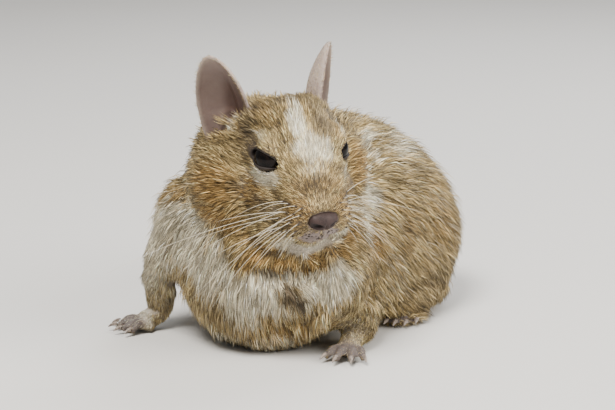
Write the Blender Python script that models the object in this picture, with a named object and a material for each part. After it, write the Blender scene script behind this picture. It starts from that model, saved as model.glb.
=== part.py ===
"""A crouching degu, life size and still. Lofted forms are fused, smoothed and parted with thin cuts.

Work is done in millimetres; place_nodes() turns the finished nodes into metres.
The degu faces -Y, its tail lies along +Y, and it rests on z = 0.
"""

import math
import random

import bmesh
import bpy
import numpy as np
from mathutils import Matrix, Vector

MM = 0.001
GAP = 0.3  # between neighbouring nodes

# Pose: the head looks to its left, the trunk runs back and to the right
HEAD_AT = np.array([-2.0, 3.8, 60.0])  # midway between the eyes
HEAD_YAW, HEAD_PITCH, HEAD_ROLL = (math.radians(a) for a in (26.0, 18.0, 3.0))
TRUNK_YAW = math.radians(26.0)
SHOULDERS_AT = np.array([-12.0, 27.0])  # on the floor below the shoulders

# Driving dimensions
EYE_RADIUS = 4.4
EYE_SIDE = 9.7  # eyeball centre from the middle of the head
LID_LENGTH, LID_HEIGHT = 10.0, 4.9
NOSE_WIDTH = 9.4
EAR_HEIGHT, EAR_WIDTH = 30.0, 17.4
EAR_THICKNESS = 1.0
TAIL_LENGTH = 106.0
TAIL_RADIUS = 2.7
BRUSH_LENGTH = 38.0
LOCKS = 34
LOCK_LENGTH = 12.5
LOCK_WIDTH = 2.8
LOCK_DROOP = 1.6  # how far a tip hangs below its lock's line
GOLDEN_SHARE = 0.618  # turns each lock well away from the one before
FOOT_LENGTH = 36.0
CLAW_LENGTH = 2.6

COLOURS = {
    "fur": (0.42, 0.31, 0.19, 1),
    "skin": (0.62, 0.50, 0.47, 1),
    "eye": (0.012, 0.010, 0.010, 1),
    "nose": (0.16, 0.10, 0.11, 1),
    "claw": (0.30, 0.25, 0.22, 1),
    "brush": (0.05, 0.042, 0.04, 1),
}
ROUGHNESS = {"fur": 0.9, "skin": 0.6, "eye": 0.05, "nose": 0.4, "claw": 0.35, "brush": 0.85}


def unit(vector):
    vector = np.asarray(vector, float)
    return vector / np.linalg.norm(vector)


def head_axes():
    """Forward, left and up of the head, in the world."""
    cy, sy = math.cos(HEAD_YAW), math.sin(HEAD_YAW)
    cp, sp = math.cos(HEAD_PITCH), math.sin(HEAD_PITCH)
    cr, sr = math.cos(HEAD_ROLL), math.sin(HEAD_ROLL)
    forward = np.array([sy * cp, -cy * cp, -sp])
    left = np.array([cy, sy, 0.0])
    up = np.array([sy * sp, -cy * sp, cp])
    return forward, left * cr + up * sr, up * cr - left * sr


FORWARD, LEFT, UP = head_axes()
BACK = np.array([math.sin(TRUNK_YAW), math.cos(TRUNK_YAW), 0.0])  # along the trunk
FLANK = np.array([math.cos(TRUNK_YAW), -math.sin(TRUNK_YAW), 0.0])  # to the degu's left
SKY = np.array([0.0, 0.0, 1.0])


def on_head(forward, left, up):
    return HEAD_AT + FORWARD * forward + LEFT * left + UP * up


def on_trunk(along, left, height):
    start = np.array([*SHOULDERS_AT, 0.0])
    return start + BACK * along + FLANK * left + SKY * height


# Shapes as (points, faces)

def smooth_rows(rows, count):
    """Rows read from a smooth curve through the given ones."""
    rows = np.array(rows, float)
    t = np.linspace(0, len(rows) - 1, count)
    i = np.clip(t.astype(int), 0, len(rows) - 2)
    f = (t - i)[:, None]
    padded = np.vstack([2 * rows[0] - rows[1], rows, 2 * rows[-1] - rows[-2]])
    a, b, c, d = (padded[i + k] for k in range(4))
    return 0.5 * (2 * b + (c - a) * f + (2 * a - 5 * b + 4 * c - d) * f**2 + (3 * b - a - 3 * c + d) * f**3)


def loft(rings):
    """A closed surface through rings of equal count, its ends closed on their centres."""
    rings = np.array(rings, float)
    levels, count, _ = rings.shape
    points = [tuple(p) for p in rings.reshape(-1, 3)]
    faces = []
    for i in range(levels - 1):
        for j in range(count):
            k = (j + 1) % count
            faces.append((i * count + j, i * count + k, (i + 1) * count + k, (i + 1) * count + j))
    for level, turned in ((0, True), (levels - 1, False)):
        pole = len(points)
        points.append(tuple(rings[level].mean(axis=0)))
        for j in range(count):
            edge = (level * count + j, level * count + (j + 1) % count, pole)
            faces.append(edge[::-1] if turned else edge)
    return points, faces


def pear_ring(centre, side, up, width, top, bottom, count=36, square=0.85):
    """A ring that is widest at its centre, with its own reach up and down."""
    t = np.linspace(0, 2 * math.pi, count, endpoint=False)
    across = np.sign(np.sin(t)) * np.abs(np.sin(t)) ** square * width
    rise = np.where(np.cos(t) > 0, top, bottom) * np.cos(t)
    return centre + np.outer(across, side) + np.outer(rise, up)


def tube(points, radii, count=12, flatten=1.0, up=SKY):
    """A tube along points; flatten scales its thickness along up."""
    points = np.array(points, float)
    tangents = np.gradient(points, axis=0)
    rings = []
    for point, tangent, radius in zip(points, tangents, radii):
        tangent = unit(tangent)
        side = np.cross(tangent, up)
        side = unit(side) if np.linalg.norm(side) > 0.05 else unit(np.cross(tangent, BACK))
        over = np.cross(side, tangent)
        rings.append(pear_ring(point, side, over, radius, radius * flatten, radius * flatten, count, 1.0))
    return loft(rings)


def limb(stations, steps=14, count=20, flatten=1.0):
    """A tube through (x, y, z, radius) stations, with rounded ends."""
    rows = smooth_rows(stations, steps)
    rows[:, 3] = np.maximum(rows[:, 3], 0.2)
    points, radii = rows[:, :3], rows[:, 3]
    first = points[0] - unit(points[1] - points[0]) * radii[0] * 0.6
    last = points[-1] + unit(points[-1] - points[-2]) * radii[-1] * 0.6
    points = np.vstack([first, points, last])
    radii = np.concatenate([[radii[0] * 0.55], radii, [radii[-1] * 0.55]])
    return tube(points, radii, count, flatten)


def ellipsoid(centre, axes, radii, levels=12, count=24):
    first, second, third = (np.asarray(axis) * radius for axis, radius in zip(axes, radii))
    rings = []
    for angle in np.linspace(0.06, math.pi - 0.06, levels):
        t = np.linspace(0, 2 * math.pi, count, endpoint=False)
        ring = np.outer(np.cos(t), first) + np.outer(np.sin(t), second)
        rings.append(centre + ring * math.sin(angle) - third * math.cos(angle))
    return loft(rings)


def cuboid(size):
    """A cube that stands on the origin."""
    points = [(x * size, y * size, z * size) for z in (0, 1) for y in (-0.5, 0.5) for x in (-0.5, 0.5)]
    faces = [(0, 1, 3, 2), (4, 6, 7, 5), (0, 4, 5, 1), (2, 3, 7, 6), (0, 2, 6, 4), (1, 5, 7, 3)]
    return points, faces


# Blender meshes

def make_object(name, shapes):
    """One mesh object from closed shapes, each turned to face out."""
    points, faces = [], []
    for shape_points, shape_faces in shapes:
        start = len(points)
        points.extend(shape_points)
        faces.extend(tuple(start + i for i in face) for face in shape_faces)
    mesh = bpy.data.meshes.new(name)
    mesh.from_pydata(points, [], faces)
    obj = bpy.data.objects.new(name, mesh)
    bpy.context.scene.collection.objects.link(obj)
    work = bmesh.new()
    work.from_mesh(mesh)
    bmesh.ops.recalc_face_normals(work, faces=work.faces)
    work.to_mesh(mesh)
    work.free()
    return obj


def bake(obj):
    """Replaces the object's mesh by its evaluated one."""
    graph = bpy.context.evaluated_depsgraph_get()
    mesh = bpy.data.meshes.new_from_object(obj.evaluated_get(graph), depsgraph=graph)
    old = obj.data
    obj.modifiers.clear()
    obj.data = mesh
    bpy.data.meshes.remove(old)


def remove(obj):
    mesh = obj.data
    bpy.data.objects.remove(obj)
    bpy.data.meshes.remove(mesh)


def twin(obj, name):
    copy = bpy.data.objects.new(name, obj.data.copy())
    bpy.context.scene.collection.objects.link(copy)
    return copy


def keep_largest(obj):
    """Drops every closed surface of the mesh but the largest."""
    work = bmesh.new()
    work.from_mesh(obj.data)
    seen, shells = set(), []
    for start in work.faces:
        if start in seen:
            continue
        shell, front = [], [start]
        seen.add(start)
        while front:
            face = front.pop()
            shell.append(face)
            for edge in face.edges:
                for other in edge.link_faces:
                    if other not in seen:
                        seen.add(other)
                        front.append(other)
        shells.append(shell)
    shells.sort(key=lambda shell: sum(face.calc_area() for face in shell))
    for shell in shells[:-1]:
        bmesh.ops.delete(work, geom=shell, context="FACES")
    work.to_mesh(obj.data)
    work.free()


def fuse(name, shapes, voxel, smoothing, triangles):
    """The shapes as one smooth closed mesh of about the given number of triangles."""
    obj = make_object(name, shapes)
    remesh = obj.modifiers.new("fuse", "REMESH")
    remesh.mode = "VOXEL"
    remesh.voxel_size = voxel
    soften = obj.modifiers.new("soften", "SMOOTH")
    soften.factor = 0.5
    soften.iterations = smoothing
    bake(obj)
    keep_largest(obj)
    thin_out(obj, triangles)
    return obj


def thin_out(obj, triangles):
    obj.data.calc_loop_triangles()
    now = len(obj.data.loop_triangles)
    modifier = obj.modifiers.new("thin out", "DECIMATE")
    modifier.ratio = min(1.0, triangles / now)
    modifier.use_collapse_triangulate = True
    bake(obj)


def swollen(obj, amount=GAP):
    """A copy of the mesh with its surface moved out by the gap."""
    copy = twin(obj, "swollen")
    modifier = copy.modifiers.new("swell", "DISPLACE")
    modifier.strength = amount
    modifier.mid_level = 0.0
    bake(copy)
    return copy


def combine(obj, other, operation, solver="EXACT", keep_other=False):
    """Boolean of the object with another, which is then removed."""
    modifier = obj.modifiers.new("combine", "BOOLEAN")
    modifier.operation = operation
    modifier.object = other
    modifier.solver = solver
    bake(obj)
    if not keep_other:
        remove(other)
    keep_largest(obj)


def clear_of(obj, *others, gap=GAP):
    """Cuts the object back from its neighbours. The exact solver loses pieces of these cuts."""
    for other in others:
        combine(obj, swollen(other, gap), "DIFFERENCE", "MANIFOLD")


def slice_off(obj, point, normal):
    """Cuts away what lies ahead of a plane, with a big box that starts there."""
    size = 600.0
    box = make_object("box", [cuboid(size)])
    turn = Vector((0, 0, 1)).rotation_difference(Vector(normal).normalized()).to_matrix().to_4x4()
    box.data.transform(Matrix.Translation(Vector(point)) @ turn)
    combine(obj, box, "DIFFERENCE", "MANIFOLD")


def part_at(obj, name, point, normal):
    """Parts the mesh at a plane. The piece ahead of it is returned, the piece behind stays."""
    normal = unit(normal)
    ahead = twin(obj, name)
    slice_off(ahead, np.asarray(point) + normal * GAP / 2, -normal)
    slice_off(obj, np.asarray(point) - normal * GAP / 2, normal)
    return ahead


def part_inside(obj, name, region):
    """Parts the mesh at the surface of a closed region. The piece inside is returned."""
    inside = twin(obj, name)
    combine(inside, region, "INTERSECT", "MANIFOLD", keep_other=True)
    clear_of(obj, region)
    remove(region)
    return inside


def set_on_floor(obj):
    slice_off(obj, (0, 0, 0), (0, 0, -1))


# Trunk, neck and limbs

# along, half width, widest height, top, bottom
TRUNK = [
    (-26, 7, 28, 35, 18),
    (-22, 14, 26, 43, 8),
    (-13, 23, 25, 53, 0.5),
    (0, 29.5, 25, 60.5, -0.6),
    (18, 33, 24, 64, -0.6),
    (36, 36, 22, 63.5, -0.6),
    (54, 36.5, 21, 59, -0.6),
    (70, 33, 20, 50.5, -0.6),
    (82, 25, 18, 39, 0),
    (89, 14, 16, 30, 4),
]
# forward, half width, middle up, top above it, bottom below it
SKULL = [
    (-31, 14, -6, 6, 14),
    (-26, 17.5, -6, 10, 16),
    (-18, 18.5, -5.5, 14.0, 18),
    (-10, 17.0, -5, 17.5, 19),
    (-3, 14.6, -5, 17.5, 19),
    (3, 13.0, -6.5, 15.8, 17),
    (8, 11.4, -8.3, 13.6, 14),
    (12, 9.8, -10.0, 10.6, 11.5),
    (15.5, 7.8, -11.6, 7.0, 8.2),
    (17.8, 4.6, -12.2, 3.8, 4.4),
]
NECK = [
    (*on_head(-14, 0, -12), 19.0),
    (*on_head(-25, 0, -18), 21.5),
    (*on_trunk(6, -1, 42), 23.5),
    (*on_trunk(18, 0, 38), 24.0),
]


def trunk_shape():
    rings = []
    for along, width, middle, top, bottom in smooth_rows(TRUNK, 30):
        centre = on_trunk(along, 0, middle)
        rings.append(pear_ring(centre, FLANK, SKY, width, top - middle, middle - bottom))
    return loft(rings)


def skull_shape():
    rings = []
    for forward, width, middle, top, bottom in smooth_rows(SKULL, 34):
        rings.append(pear_ring(on_head(forward, 0, middle), LEFT, UP, width, top, bottom, 40, 0.9))
    return loft(rings)


def neck_shape():
    return limb(NECK, 12, 32)


def brisket_shape():
    """The deep fur of the throat and breast."""
    return limb([(*on_head(-8, 0, -16), 13), (-7, 12, 28, 15), (-9, 18, 17, 15)], 10, 24)


def shoulder_shapes():
    right = ellipsoid(on_trunk(-3, -21, 32), (BACK, FLANK, SKY), (14, 13, 18))
    left = ellipsoid(on_trunk(-2, 21, 26), (BACK, FLANK, SKY), (15, 12, 20))
    return [right, left]


def haunch_shapes():
    return [ellipsoid(on_trunk(46, side * 23.5, 18), (BACK, FLANK, SKY), (28, 14, 20)) for side in (-1, 1)]


RIGHT_WRIST = np.array([-44.0, 39.0, 5.6])
LEFT_WRIST = np.array([13.0, 12.5, 4.4])
RIGHT_ARM = [(-29, 33, 36, 13), (-38, 36, 27, 9.5), (-43.2, 38.5, 18.5, 6.4), (-43.8, 39, 11, 4.6), (*RIGHT_WRIST, 3.7)]
LEFT_ARM = [(7, 28, 24, 10), (13, 26, 14, 8), (16, 21, 7.5, 5.6), (14.4, 16.5, 5.4, 4.2), (*LEFT_WRIST, 3.4)]
RIGHT_REACH = unit([-0.93, -0.34, -0.12])  # which way each hand points
LEFT_REACH = unit([-0.22, -0.97, -0.1])


def heel(side):
    return on_trunk(63, side * 26.5, 3.6)


def toe_way(side):
    return unit(-BACK + FLANK * side * 0.08)


def foot_shapes(side):
    """Metatarsus and five long toes."""
    start, ahead = heel(side), toe_way(side)
    across = np.cross(SKY, ahead)
    ball = start + ahead * FOOT_LENGTH * 0.66 - SKY * 1.2
    shapes = [limb([(*start, 3.4), (*(start + ahead * 11), 3.6), (*ball, 4.2)], 8, 16, 0.8)]
    for toe in range(-2, 3):
        root = ball + across * toe * 1.75 - ahead * 1.5
        long = FOOT_LENGTH * (0.31, 0.35, 0.36, 0.33, 0.24)[toe + 2]
        spread = unit(ahead + across * toe * 0.09)
        knuckle = root + spread * long * 0.55 + SKY * 0.2
        tip = root + spread * long - SKY * 1.0
        shapes.append(limb([(*root, 1.7), (*knuckle, 1.45), (*tip, 1.15)], 7, 12))
    return shapes


def hand_digits(wrist, reach, spread=0.34):
    """Root, knuckle, tip and way of each of four digits and a short thumb."""
    across = unit(np.cross(SKY, reach))
    palm = wrist + reach * 5.2
    palm[2] = 2.5
    digits = []
    for digit in range(4):
        aside = digit - 1.5
        long = (5.2, 6.6, 6.4, 5.0)[digit]
        way = unit(reach * (1, 1, 0) + across * aside * spread)
        root = palm + across * aside * 1.7 + way * 1.0
        digits.append((root, root + way * long * 0.5 + SKY * 0.3, root + way * long - SKY * 1.25, way))
    thumb_side = np.sign(np.dot(across, BACK + FLANK * np.sign(wrist[0]) * -2))
    way = unit(reach * (0.6, 0.6, 0) + across * thumb_side)
    root = wrist + reach * 3.2 + across * thumb_side * 1.6
    root[2] = 2.0
    digits.append((root, root + way * 1.4, root + way * 2.6 - SKY * 0.6, way))
    return palm, digits


def hand_shapes(wrist, reach, arm):
    palm, digits = hand_digits(wrist, reach)
    before = np.array(arm[-2][:3])
    up_arm = wrist + unit(before - wrist) * 3.0
    shapes = [limb([(*up_arm, arm[-1][3] + 0.3), (*wrist, arm[-1][3]), (*palm, 3.3)], 8, 16, 0.85)]
    shapes.append(ellipsoid(palm, (reach, unit(np.cross(SKY, reach)), SKY), (3.4, 3.9, 2.6)))
    for root, knuckle, tip, _ in digits:
        shapes.append(limb([(*root, 1.5), (*knuckle, 1.3), (*tip, 1.1)], 7, 12))
    return shapes


def claw_shape(tip, way):
    """A short curved cone that leaves the digit's tip and bends down."""
    points, radii = [], []
    for t in np.linspace(0, 1, 4):
        points.append(tip - way * 0.6 + way * CLAW_LENGTH * t + SKY * (0.75 + 0.35 * t - 1.15 * t * t))
        radii.append(0.62 * (1 - t) ** 0.8 + 0.16)
    return tube(points, radii, 6)


def tail_rows():
    """Points and radii of the tail, from inside the rump to the tip of the tail's flesh."""
    root = on_trunk(88, 0, 0)
    low = TAIL_RADIUS - 0.3
    path = [
        (*on_trunk(80, 0, 14), 8.5),
        (*on_trunk(89, -0.5, 9.5), 6.0),
        (*(root + (1, 8, 5.0)), 3.8),
        (*(root + (0, 19, low)), TAIL_RADIUS),
        (*(root + (-4, 41, low - 0.2)), TAIL_RADIUS - 0.2),
        (*(root + (-10, 63, low - 0.4)), TAIL_RADIUS - 0.4),
        (*(root + (-14, 0.8 * TAIL_LENGTH, 1.9)), 2.0),
        (*(root + (-13, TAIL_LENGTH, 1.6)), 1.3),
    ]
    return path


# Head details

def lid_axes(side):
    """Along the lid opening toward the nose, up across it, and out of the eye."""
    out = unit(FORWARD * 0.55 + LEFT * side * 0.80 + UP * 0.18)
    along = unit(FORWARD * 0.80 - UP * 0.14 - LEFT * side * 0.44)
    along = unit(along - out * np.dot(along, out))
    return along, np.cross(out, along) * side, out


def eye_centre(side):
    return on_head(0.8, side * EYE_SIDE, 0.2)


def lid_rim(side):
    """A ridge that follows the lids round the eye."""
    along, up, out = lid_axes(side)
    points = []
    for angle in np.linspace(0, 2 * math.pi, 28, endpoint=False):
        a = math.cos(angle) * (LID_LENGTH / 2 + 0.5)
        b = math.sin(angle) * (LID_HEIGHT / 2 + 0.5)
        reach = math.sqrt(max((EYE_RADIUS + 0.35) ** 2 - a * a - b * b, 0.5))
        points.append(eye_centre(side) + along * a + up * b + out * reach)
    points = np.array(points)
    rings = []
    for i, point in enumerate(points):
        tangent = unit(points[(i + 1) % len(points)] - points[i - 1])
        away = unit(np.cross(tangent, out))
        rings.append(pear_ring(point, away, out, 0.85, 0.6, 0.9, 8, 1.0))
    rings = np.array(rings)
    count = rings.shape[1]
    faces = []
    for i in range(len(rings)):
        n = (i + 1) % len(rings)
        for j in range(count):
            k = (j + 1) % count
            faces.append((i * count + j, i * count + k, n * count + k, n * count + j))
    return [tuple(p) for p in rings.reshape(-1, 3)], faces


def face_shapes():
    """Whisker pads, chin, cheeks and brows."""
    axes = (FORWARD, LEFT, UP)
    shapes = [ellipsoid(on_head(9.5, 0, -19.4), axes, (6.0, 6.4, 4.6))]
    for side in (-1, 1):
        shapes.append(ellipsoid(on_head(11.4, side * 5.6, -13.8), axes, (6.6, 6.0, 5.6)))
        shapes.append(ellipsoid(on_head(-12.5, side * 14.0, -14.4), axes, (14, 13.0, 13.4)))
        shapes.append(ellipsoid(on_head(1, side * 8, -12), axes, (10, 8.5, 8.5)))
        shapes.append(ellipsoid(on_head(-1.2, side * 9.8, 5.0), axes, (5.6, 2.6, 2.4)))
        shapes.append(ellipsoid(on_head(1.5, side * 8.0, -18.5), axes, (11.5, 8.6, 8.0)))
        shapes.append(lid_rim(side))
    return shapes


def mouth_path():
    """The groove between the lips, from one corner to the other."""
    path = []
    for angle in np.linspace(-1, 1, 15):
        path.append(on_head(17.0 - 9.5 * angle * angle, 8.2 * angle, -17.2 - 1.9 * abs(angle)))
    return path


def cut_head_details(head):
    for side in (-1, 1):
        along, up, out = lid_axes(side)
        opening = ellipsoid(eye_centre(side) + out * 5.5, (along, up, out), (LID_LENGTH / 2, LID_HEIGHT / 2, 7.0))
        combine(head, make_object("opening", [opening]), "DIFFERENCE")
        socket = ellipsoid(eye_centre(side), (along, up, out), (EYE_RADIUS + GAP * 1.4,) * 3, 9, 16)
        combine(head, make_object("socket", [socket]), "DIFFERENCE")
    groove = tube(mouth_path(), [0.25] + [0.62] * 13 + [0.25], 6)
    combine(head, make_object("groove", [groove]), "DIFFERENCE")
    split = tube([on_head(18.8, 0, -13.0), on_head(18.1, 0, -15.4), on_head(16.8, 0, -17.4)], [0.45, 0.5, 0.5], 6)
    combine(head, make_object("split", [split]), "DIFFERENCE")


def nose_shape(extra=0.0):
    radii = (2.6 + extra, NOSE_WIDTH / 2 + extra, 2.5 + extra)
    return ellipsoid(on_head(17.0, 0, -11.9), (FORWARD, LEFT, UP), radii, 8, 16)


def build_nose():
    nose = make_object("nose", [nose_shape()])
    for side in (-1, 1):
        way = unit(FORWARD * 0.5 + LEFT * side * 0.8 - UP * 0.25)
        hole = ellipsoid(on_head(18.8, side * 2.7, -12.6), (way, UP, np.cross(way, UP)), (1.5, 0.55, 0.8), 6, 8)
        combine(nose, make_object("nostril", [hole]), "DIFFERENCE")
    return nose


def ear_axes(side):
    """Up the ear, across it, and the way that its cup opens."""
    opens = unit(FORWARD * 0.55 + LEFT * side * 0.835 + UP * 0.04)
    up = unit(UP * 0.86 - FORWARD * 0.47 + LEFT * side * 0.02)
    up = unit(up - opens * np.dot(up, opens))
    return up, np.cross(up, opens), opens


def ear_shape(side):
    """An oval cup with a rolled rim: a front sheet and a back sheet, joined round the edge."""
    up, across, opens = ear_axes(side)
    centre = on_head(-19.4, side * 16.1, 6.8)
    count = 16
    radii_front = (0.0, 0.3, 0.58, 0.82, 0.95, 1.0)
    rings = []
    for back in (False, True):
        for r in radii_front[1:] if not back else radii_front[:0:-1]:
            ring = []
            for angle in np.linspace(0, 2 * math.pi, count, endpoint=False):
                p, q = math.sin(angle) * r, math.cos(angle) * r
                narrow = 1.0 - 0.10 * q - 0.10 * q * q + 0.6 * max(-q, 0.0) ** 2
                depth = -4.6 * (1 - r * r) - (EAR_THICKNESS if back else 0) * (1.0 if r < 0.99 else 0.7)
                ring.append(centre + across * p * narrow * EAR_WIDTH / 2 + up * q * EAR_HEIGHT / 2 + opens * depth)
            rings.append(ring)
    return loft(rings)


def ear_root(side):
    up, across, opens = ear_axes(side)
    centre = on_head(-20.5, side * 12.6, 1.2) - opens * 1.2
    return ellipsoid(centre, (up, across, opens), (8.0, 5.4, 4.2), 7, 12)


def build_ear(side, name):
    ear = make_object(name, [ear_shape(side)])
    combine(ear, make_object("root", [ear_root(side)]), "UNION")
    return ear


def build_head():
    """The head and its separate eyes and nose."""
    head = fuse("head", [skull_shape(), neck_shape(), *face_shapes()], 0.5, 5, 2200)
    slice_off(head, on_head(-22, 0, 0), unit(-FORWARD - UP * 0.25))
    slice_off(head, on_head(-8, 0, -28), -UP)
    envelope = twin(head, "envelope")
    thin_out(envelope, 800)
    cut_head_details(head)
    nose = build_nose()
    combine(head, make_object("seat", [nose_shape(GAP)]), "DIFFERENCE")
    eyes = []
    for side, name in ((-1, "eye_right"), (1, "eye_left")):
        along, up, out = lid_axes(side)
        ball = ellipsoid(eye_centre(side), (along, up, out), (EYE_RADIUS,) * 3, 9, 16)
        eyes.append(make_object(name, [ball]))
    return head, envelope, nose, eyes


def build_hands():
    hands = []
    for name, wrist, reach, arm in (
        ("hand_right", RIGHT_WRIST, RIGHT_REACH, RIGHT_ARM),
        ("hand_left", LEFT_WRIST, LEFT_REACH, LEFT_ARM),
    ):
        hand = fuse(name, hand_shapes(wrist, reach, arm), 0.35, 2, 360)
        up_arm = unit(np.array(arm[-2][:3]) - wrist)
        slice_off(hand, wrist + up_arm * GAP / 2, up_arm)
        set_on_floor(hand)
        hands.append(hand)
    return hands


def build_feet():
    feet = []
    for side, name in ((-1, "foot_right"), (1, "foot_left")):
        foot = fuse(name, foot_shapes(side), 0.4, 2, 400)
        set_on_floor(foot)
        feet.append(foot)
    return feet


def build_claws(hands, feet):
    claws = []
    for hand, wrist, reach in ((hands[0], RIGHT_WRIST, RIGHT_REACH), (hands[1], LEFT_WRIST, LEFT_REACH)):
        _, digits = hand_digits(wrist, reach)
        for number, (_, _, tip, way) in enumerate(digits[:4]):
            claws.append(root_claw(f"claw_{hand.name}_{number + 1}", tip, way, hand))
    for foot, side in ((feet[0], -1), (feet[1], 1)):
        ahead = toe_way(side)
        across = np.cross(SKY, ahead)
        ball = heel(side) + ahead * FOOT_LENGTH * 0.66 - SKY * 1.2
        for toe in range(-2, 3):
            way = unit(ahead + across * toe * 0.09)
            long = FOOT_LENGTH * (0.31, 0.35, 0.36, 0.33, 0.24)[toe + 2]
            tip = ball + across * toe * 1.75 - ahead * 1.5 + way * long - SKY * 1.0
            claws.append(root_claw(f"claw_{foot.name}_{toe + 3}", tip, way, foot))
    return claws


def root_claw(name, tip, way, paw):
    claw = make_object(name, [claw_shape(tip + way * 0.9, way)])
    clear_of(claw, paw)
    slice_off(claw, (0, 0, 0.1), (0, 0, -1))
    return claw


def build_body(envelope, small_nodes):
    """Everything of the trunk, neck, arms and haunches, cut clear of the finer nodes."""
    shapes = [trunk_shape(), neck_shape(), brisket_shape(), *shoulder_shapes(), *haunch_shapes()]
    shapes += [limb(RIGHT_ARM, 16), limb(LEFT_ARM, 16), limb(tail_rows(), 40)]
    body = fuse("body", shapes, 0.9, 6, 1700)
    set_on_floor(body)
    clear_of(body, envelope, gap=GAP * 1.5)
    clear_of(body, *small_nodes)
    return body


def arm_region(stations, grow):
    rows = [(*row[:3], row[3] + grow) for row in stations]
    return fuse("region", [limb(rows, 12, 16)], 1.0, 3, 260)


def part_body(body, hands):
    """Parts the body into its nodes with thin cuts."""
    nodes = []
    for name, arm, hand, wrist in (
        ("right", RIGHT_ARM, hands[0], RIGHT_WRIST),
        ("left", LEFT_ARM, hands[1], LEFT_WRIST),
    ):
        beyond = wrist + unit(wrist - np.array(arm[-2][:3])) * 12
        region = arm_region([(*arm[0][:3], arm[0][3] - 1.5), *arm[1:], (*beyond, arm[-1][3])], 1.5)
        whole = part_inside(body, f"upper_arm_{name}", region)
        up_arm = unit(np.array(arm[-2][:3]) - wrist)
        slice_off(whole, wrist + up_arm * -GAP / 2 + up_arm * GAP, -up_arm)
        elbow = np.array(arm[2][:3])
        forearm = part_at(whole, f"forearm_{name}", elbow, unit(np.array(arm[3][:3]) - np.array(arm[1][:3])))
        nodes += [whole, forearm]
        clear_of(body, hand)
    for side, name in ((-1, "thigh_right"), (1, "thigh_left")):
        region = ellipsoid(on_trunk(48, side * 37, 19), (BACK, FLANK, SKY), (25, 15, 26), 10, 20)
        nodes.append(part_inside(body, name, make_object("region", [region])))
    neck = part_at(body, "neck", on_trunk(0, 0, 46), unit(-BACK * 0.62 + SKY * 0.78))
    tail = part_at(body, "tail_1", on_trunk(91, 0, 5), BACK)
    rump = part_at(body, "rump", on_trunk(52, 0, 0), BACK)
    belly = part_at(body, "belly", on_trunk(20, 0, 0), BACK)
    body.name = "chest"
    nodes += [neck, rump, belly, body]
    lengths = [tail]
    for number, share in ((2, 0.22), (3, 0.43), (4, 1 - BRUSH_LENGTH / TAIL_LENGTH)):
        point = on_trunk(88, 0, 0) + (0, share * TAIL_LENGTH, 0)
        lengths.append(part_at(lengths[-1], f"tail_{number}", point, (0, 1, 0)))
    return nodes, lengths


def brush_rows():
    """Points and radii of the brush's flesh, from its first bristles to the tip."""
    rows = smooth_rows(tail_rows(), 60)
    start = on_trunk(88, 0, 0)[1] + TAIL_LENGTH - BRUSH_LENGTH
    kept = rows[rows[:, 1] > start + 1.0]
    share = np.linspace(0, 1, len(kept))
    kept[:, 3] = 2.0 + 1.1 * np.sin(math.pi * share**0.7) ** 0.8 * (1 - 0.3 * share)
    kept[:, 2] = np.maximum(kept[:, 3] * 0.7, 1.4)
    return kept


def lock_shape(root, ahead, out, lean):
    """A flat tapered lock that leaves the tail outwards and bends back along it."""
    long = LOCK_LENGTH * random.uniform(0.8, 1.2)
    wide = LOCK_WIDTH / 2 * random.uniform(0.8, 1.2)
    sway = np.cross(ahead, out) * random.uniform(-0.16, 0.16)
    points, radii = [], []
    for t in np.linspace(0, 1, 5):
        way = ahead * t + out * lean * t * (1 - 0.5 * t) + sway * t * t
        points.append(root + way * long - SKY * LOCK_DROOP * t * t)
        radii.append(wide * (1 - t) ** 0.7 * (0.75 + t) + 0.14)
    return tube(points, radii, 4, 0.42, out)


def brush_locks(rows):
    """Locks all round the top and sides of the brush, one further along than the last."""
    locks = []
    ways = np.gradient(rows[:, :3], axis=0)
    for number in range(LOCKS):
        share = (number + random.random()) / LOCKS
        place = round(share * 0.86 * (len(rows) - 1))
        ahead = unit(ways[place])
        side = unit(np.cross(ahead, SKY))
        turn = math.radians(-12 + 204 * ((number * GOLDEN_SHARE + 0.08 * random.random()) % 1.0))
        out = unit(side * math.cos(turn) + SKY * math.sin(turn))
        root = rows[place][:3] + out * rows[place][3] * 0.35 - ahead * 1.5
        locks.append(lock_shape(root, ahead, out, random.uniform(0.36, 0.58)))
    return locks


def build_brush(last_length):
    """The bristly end of the tail: locks fused with the last length."""
    rows = brush_rows()
    core = make_object("core", [tube(rows[:, :3], rows[:, 3], 12, 0.7)])
    combine(last_length, core, "UNION")
    for shape in brush_locks(rows):
        combine(last_length, make_object("lock", [shape]), "UNION", "MANIFOLD")
    set_on_floor(last_length)
    last_length.name = "tail_brush"
    return last_length


# Finish

def finish(obj, kind):
    """Metres, origin at the node's middle, own material, smooth shading."""
    material = bpy.data.materials.new(f"{obj.name} {kind}")
    material.use_nodes = True
    shader = material.node_tree.nodes["Principled BSDF"]
    shader.inputs["Base Color"].default_value = COLOURS[kind]
    shader.inputs["Roughness"].default_value = ROUGHNESS[kind]
    material.diffuse_color = COLOURS[kind]
    obj.data.materials.clear()
    obj.data.materials.append(material)
    for face in obj.data.polygons:
        face.use_smooth = True


def place_nodes(nodes):
    """Scales to metres and puts the middle of the box's underside at the origin."""
    corners = np.array([vertex.co for obj in nodes for vertex in obj.data.vertices])
    low, high = corners.min(axis=0), corners.max(axis=0)
    middle = Vector(((low[0] + high[0]) / 2, (low[1] + high[1]) / 2, low[2]))
    root = bpy.data.objects.new("degu", None)
    bpy.context.scene.collection.objects.link(root)
    for obj in nodes:
        points = np.array([vertex.co for vertex in obj.data.vertices])
        pivot = Vector(points.mean(axis=0))
        obj.data.transform(Matrix.Translation(-pivot))
        obj.data.transform(Matrix.Scale(MM, 4))
        obj.location = (pivot - middle) * MM
        obj.parent = root
    return middle


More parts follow.
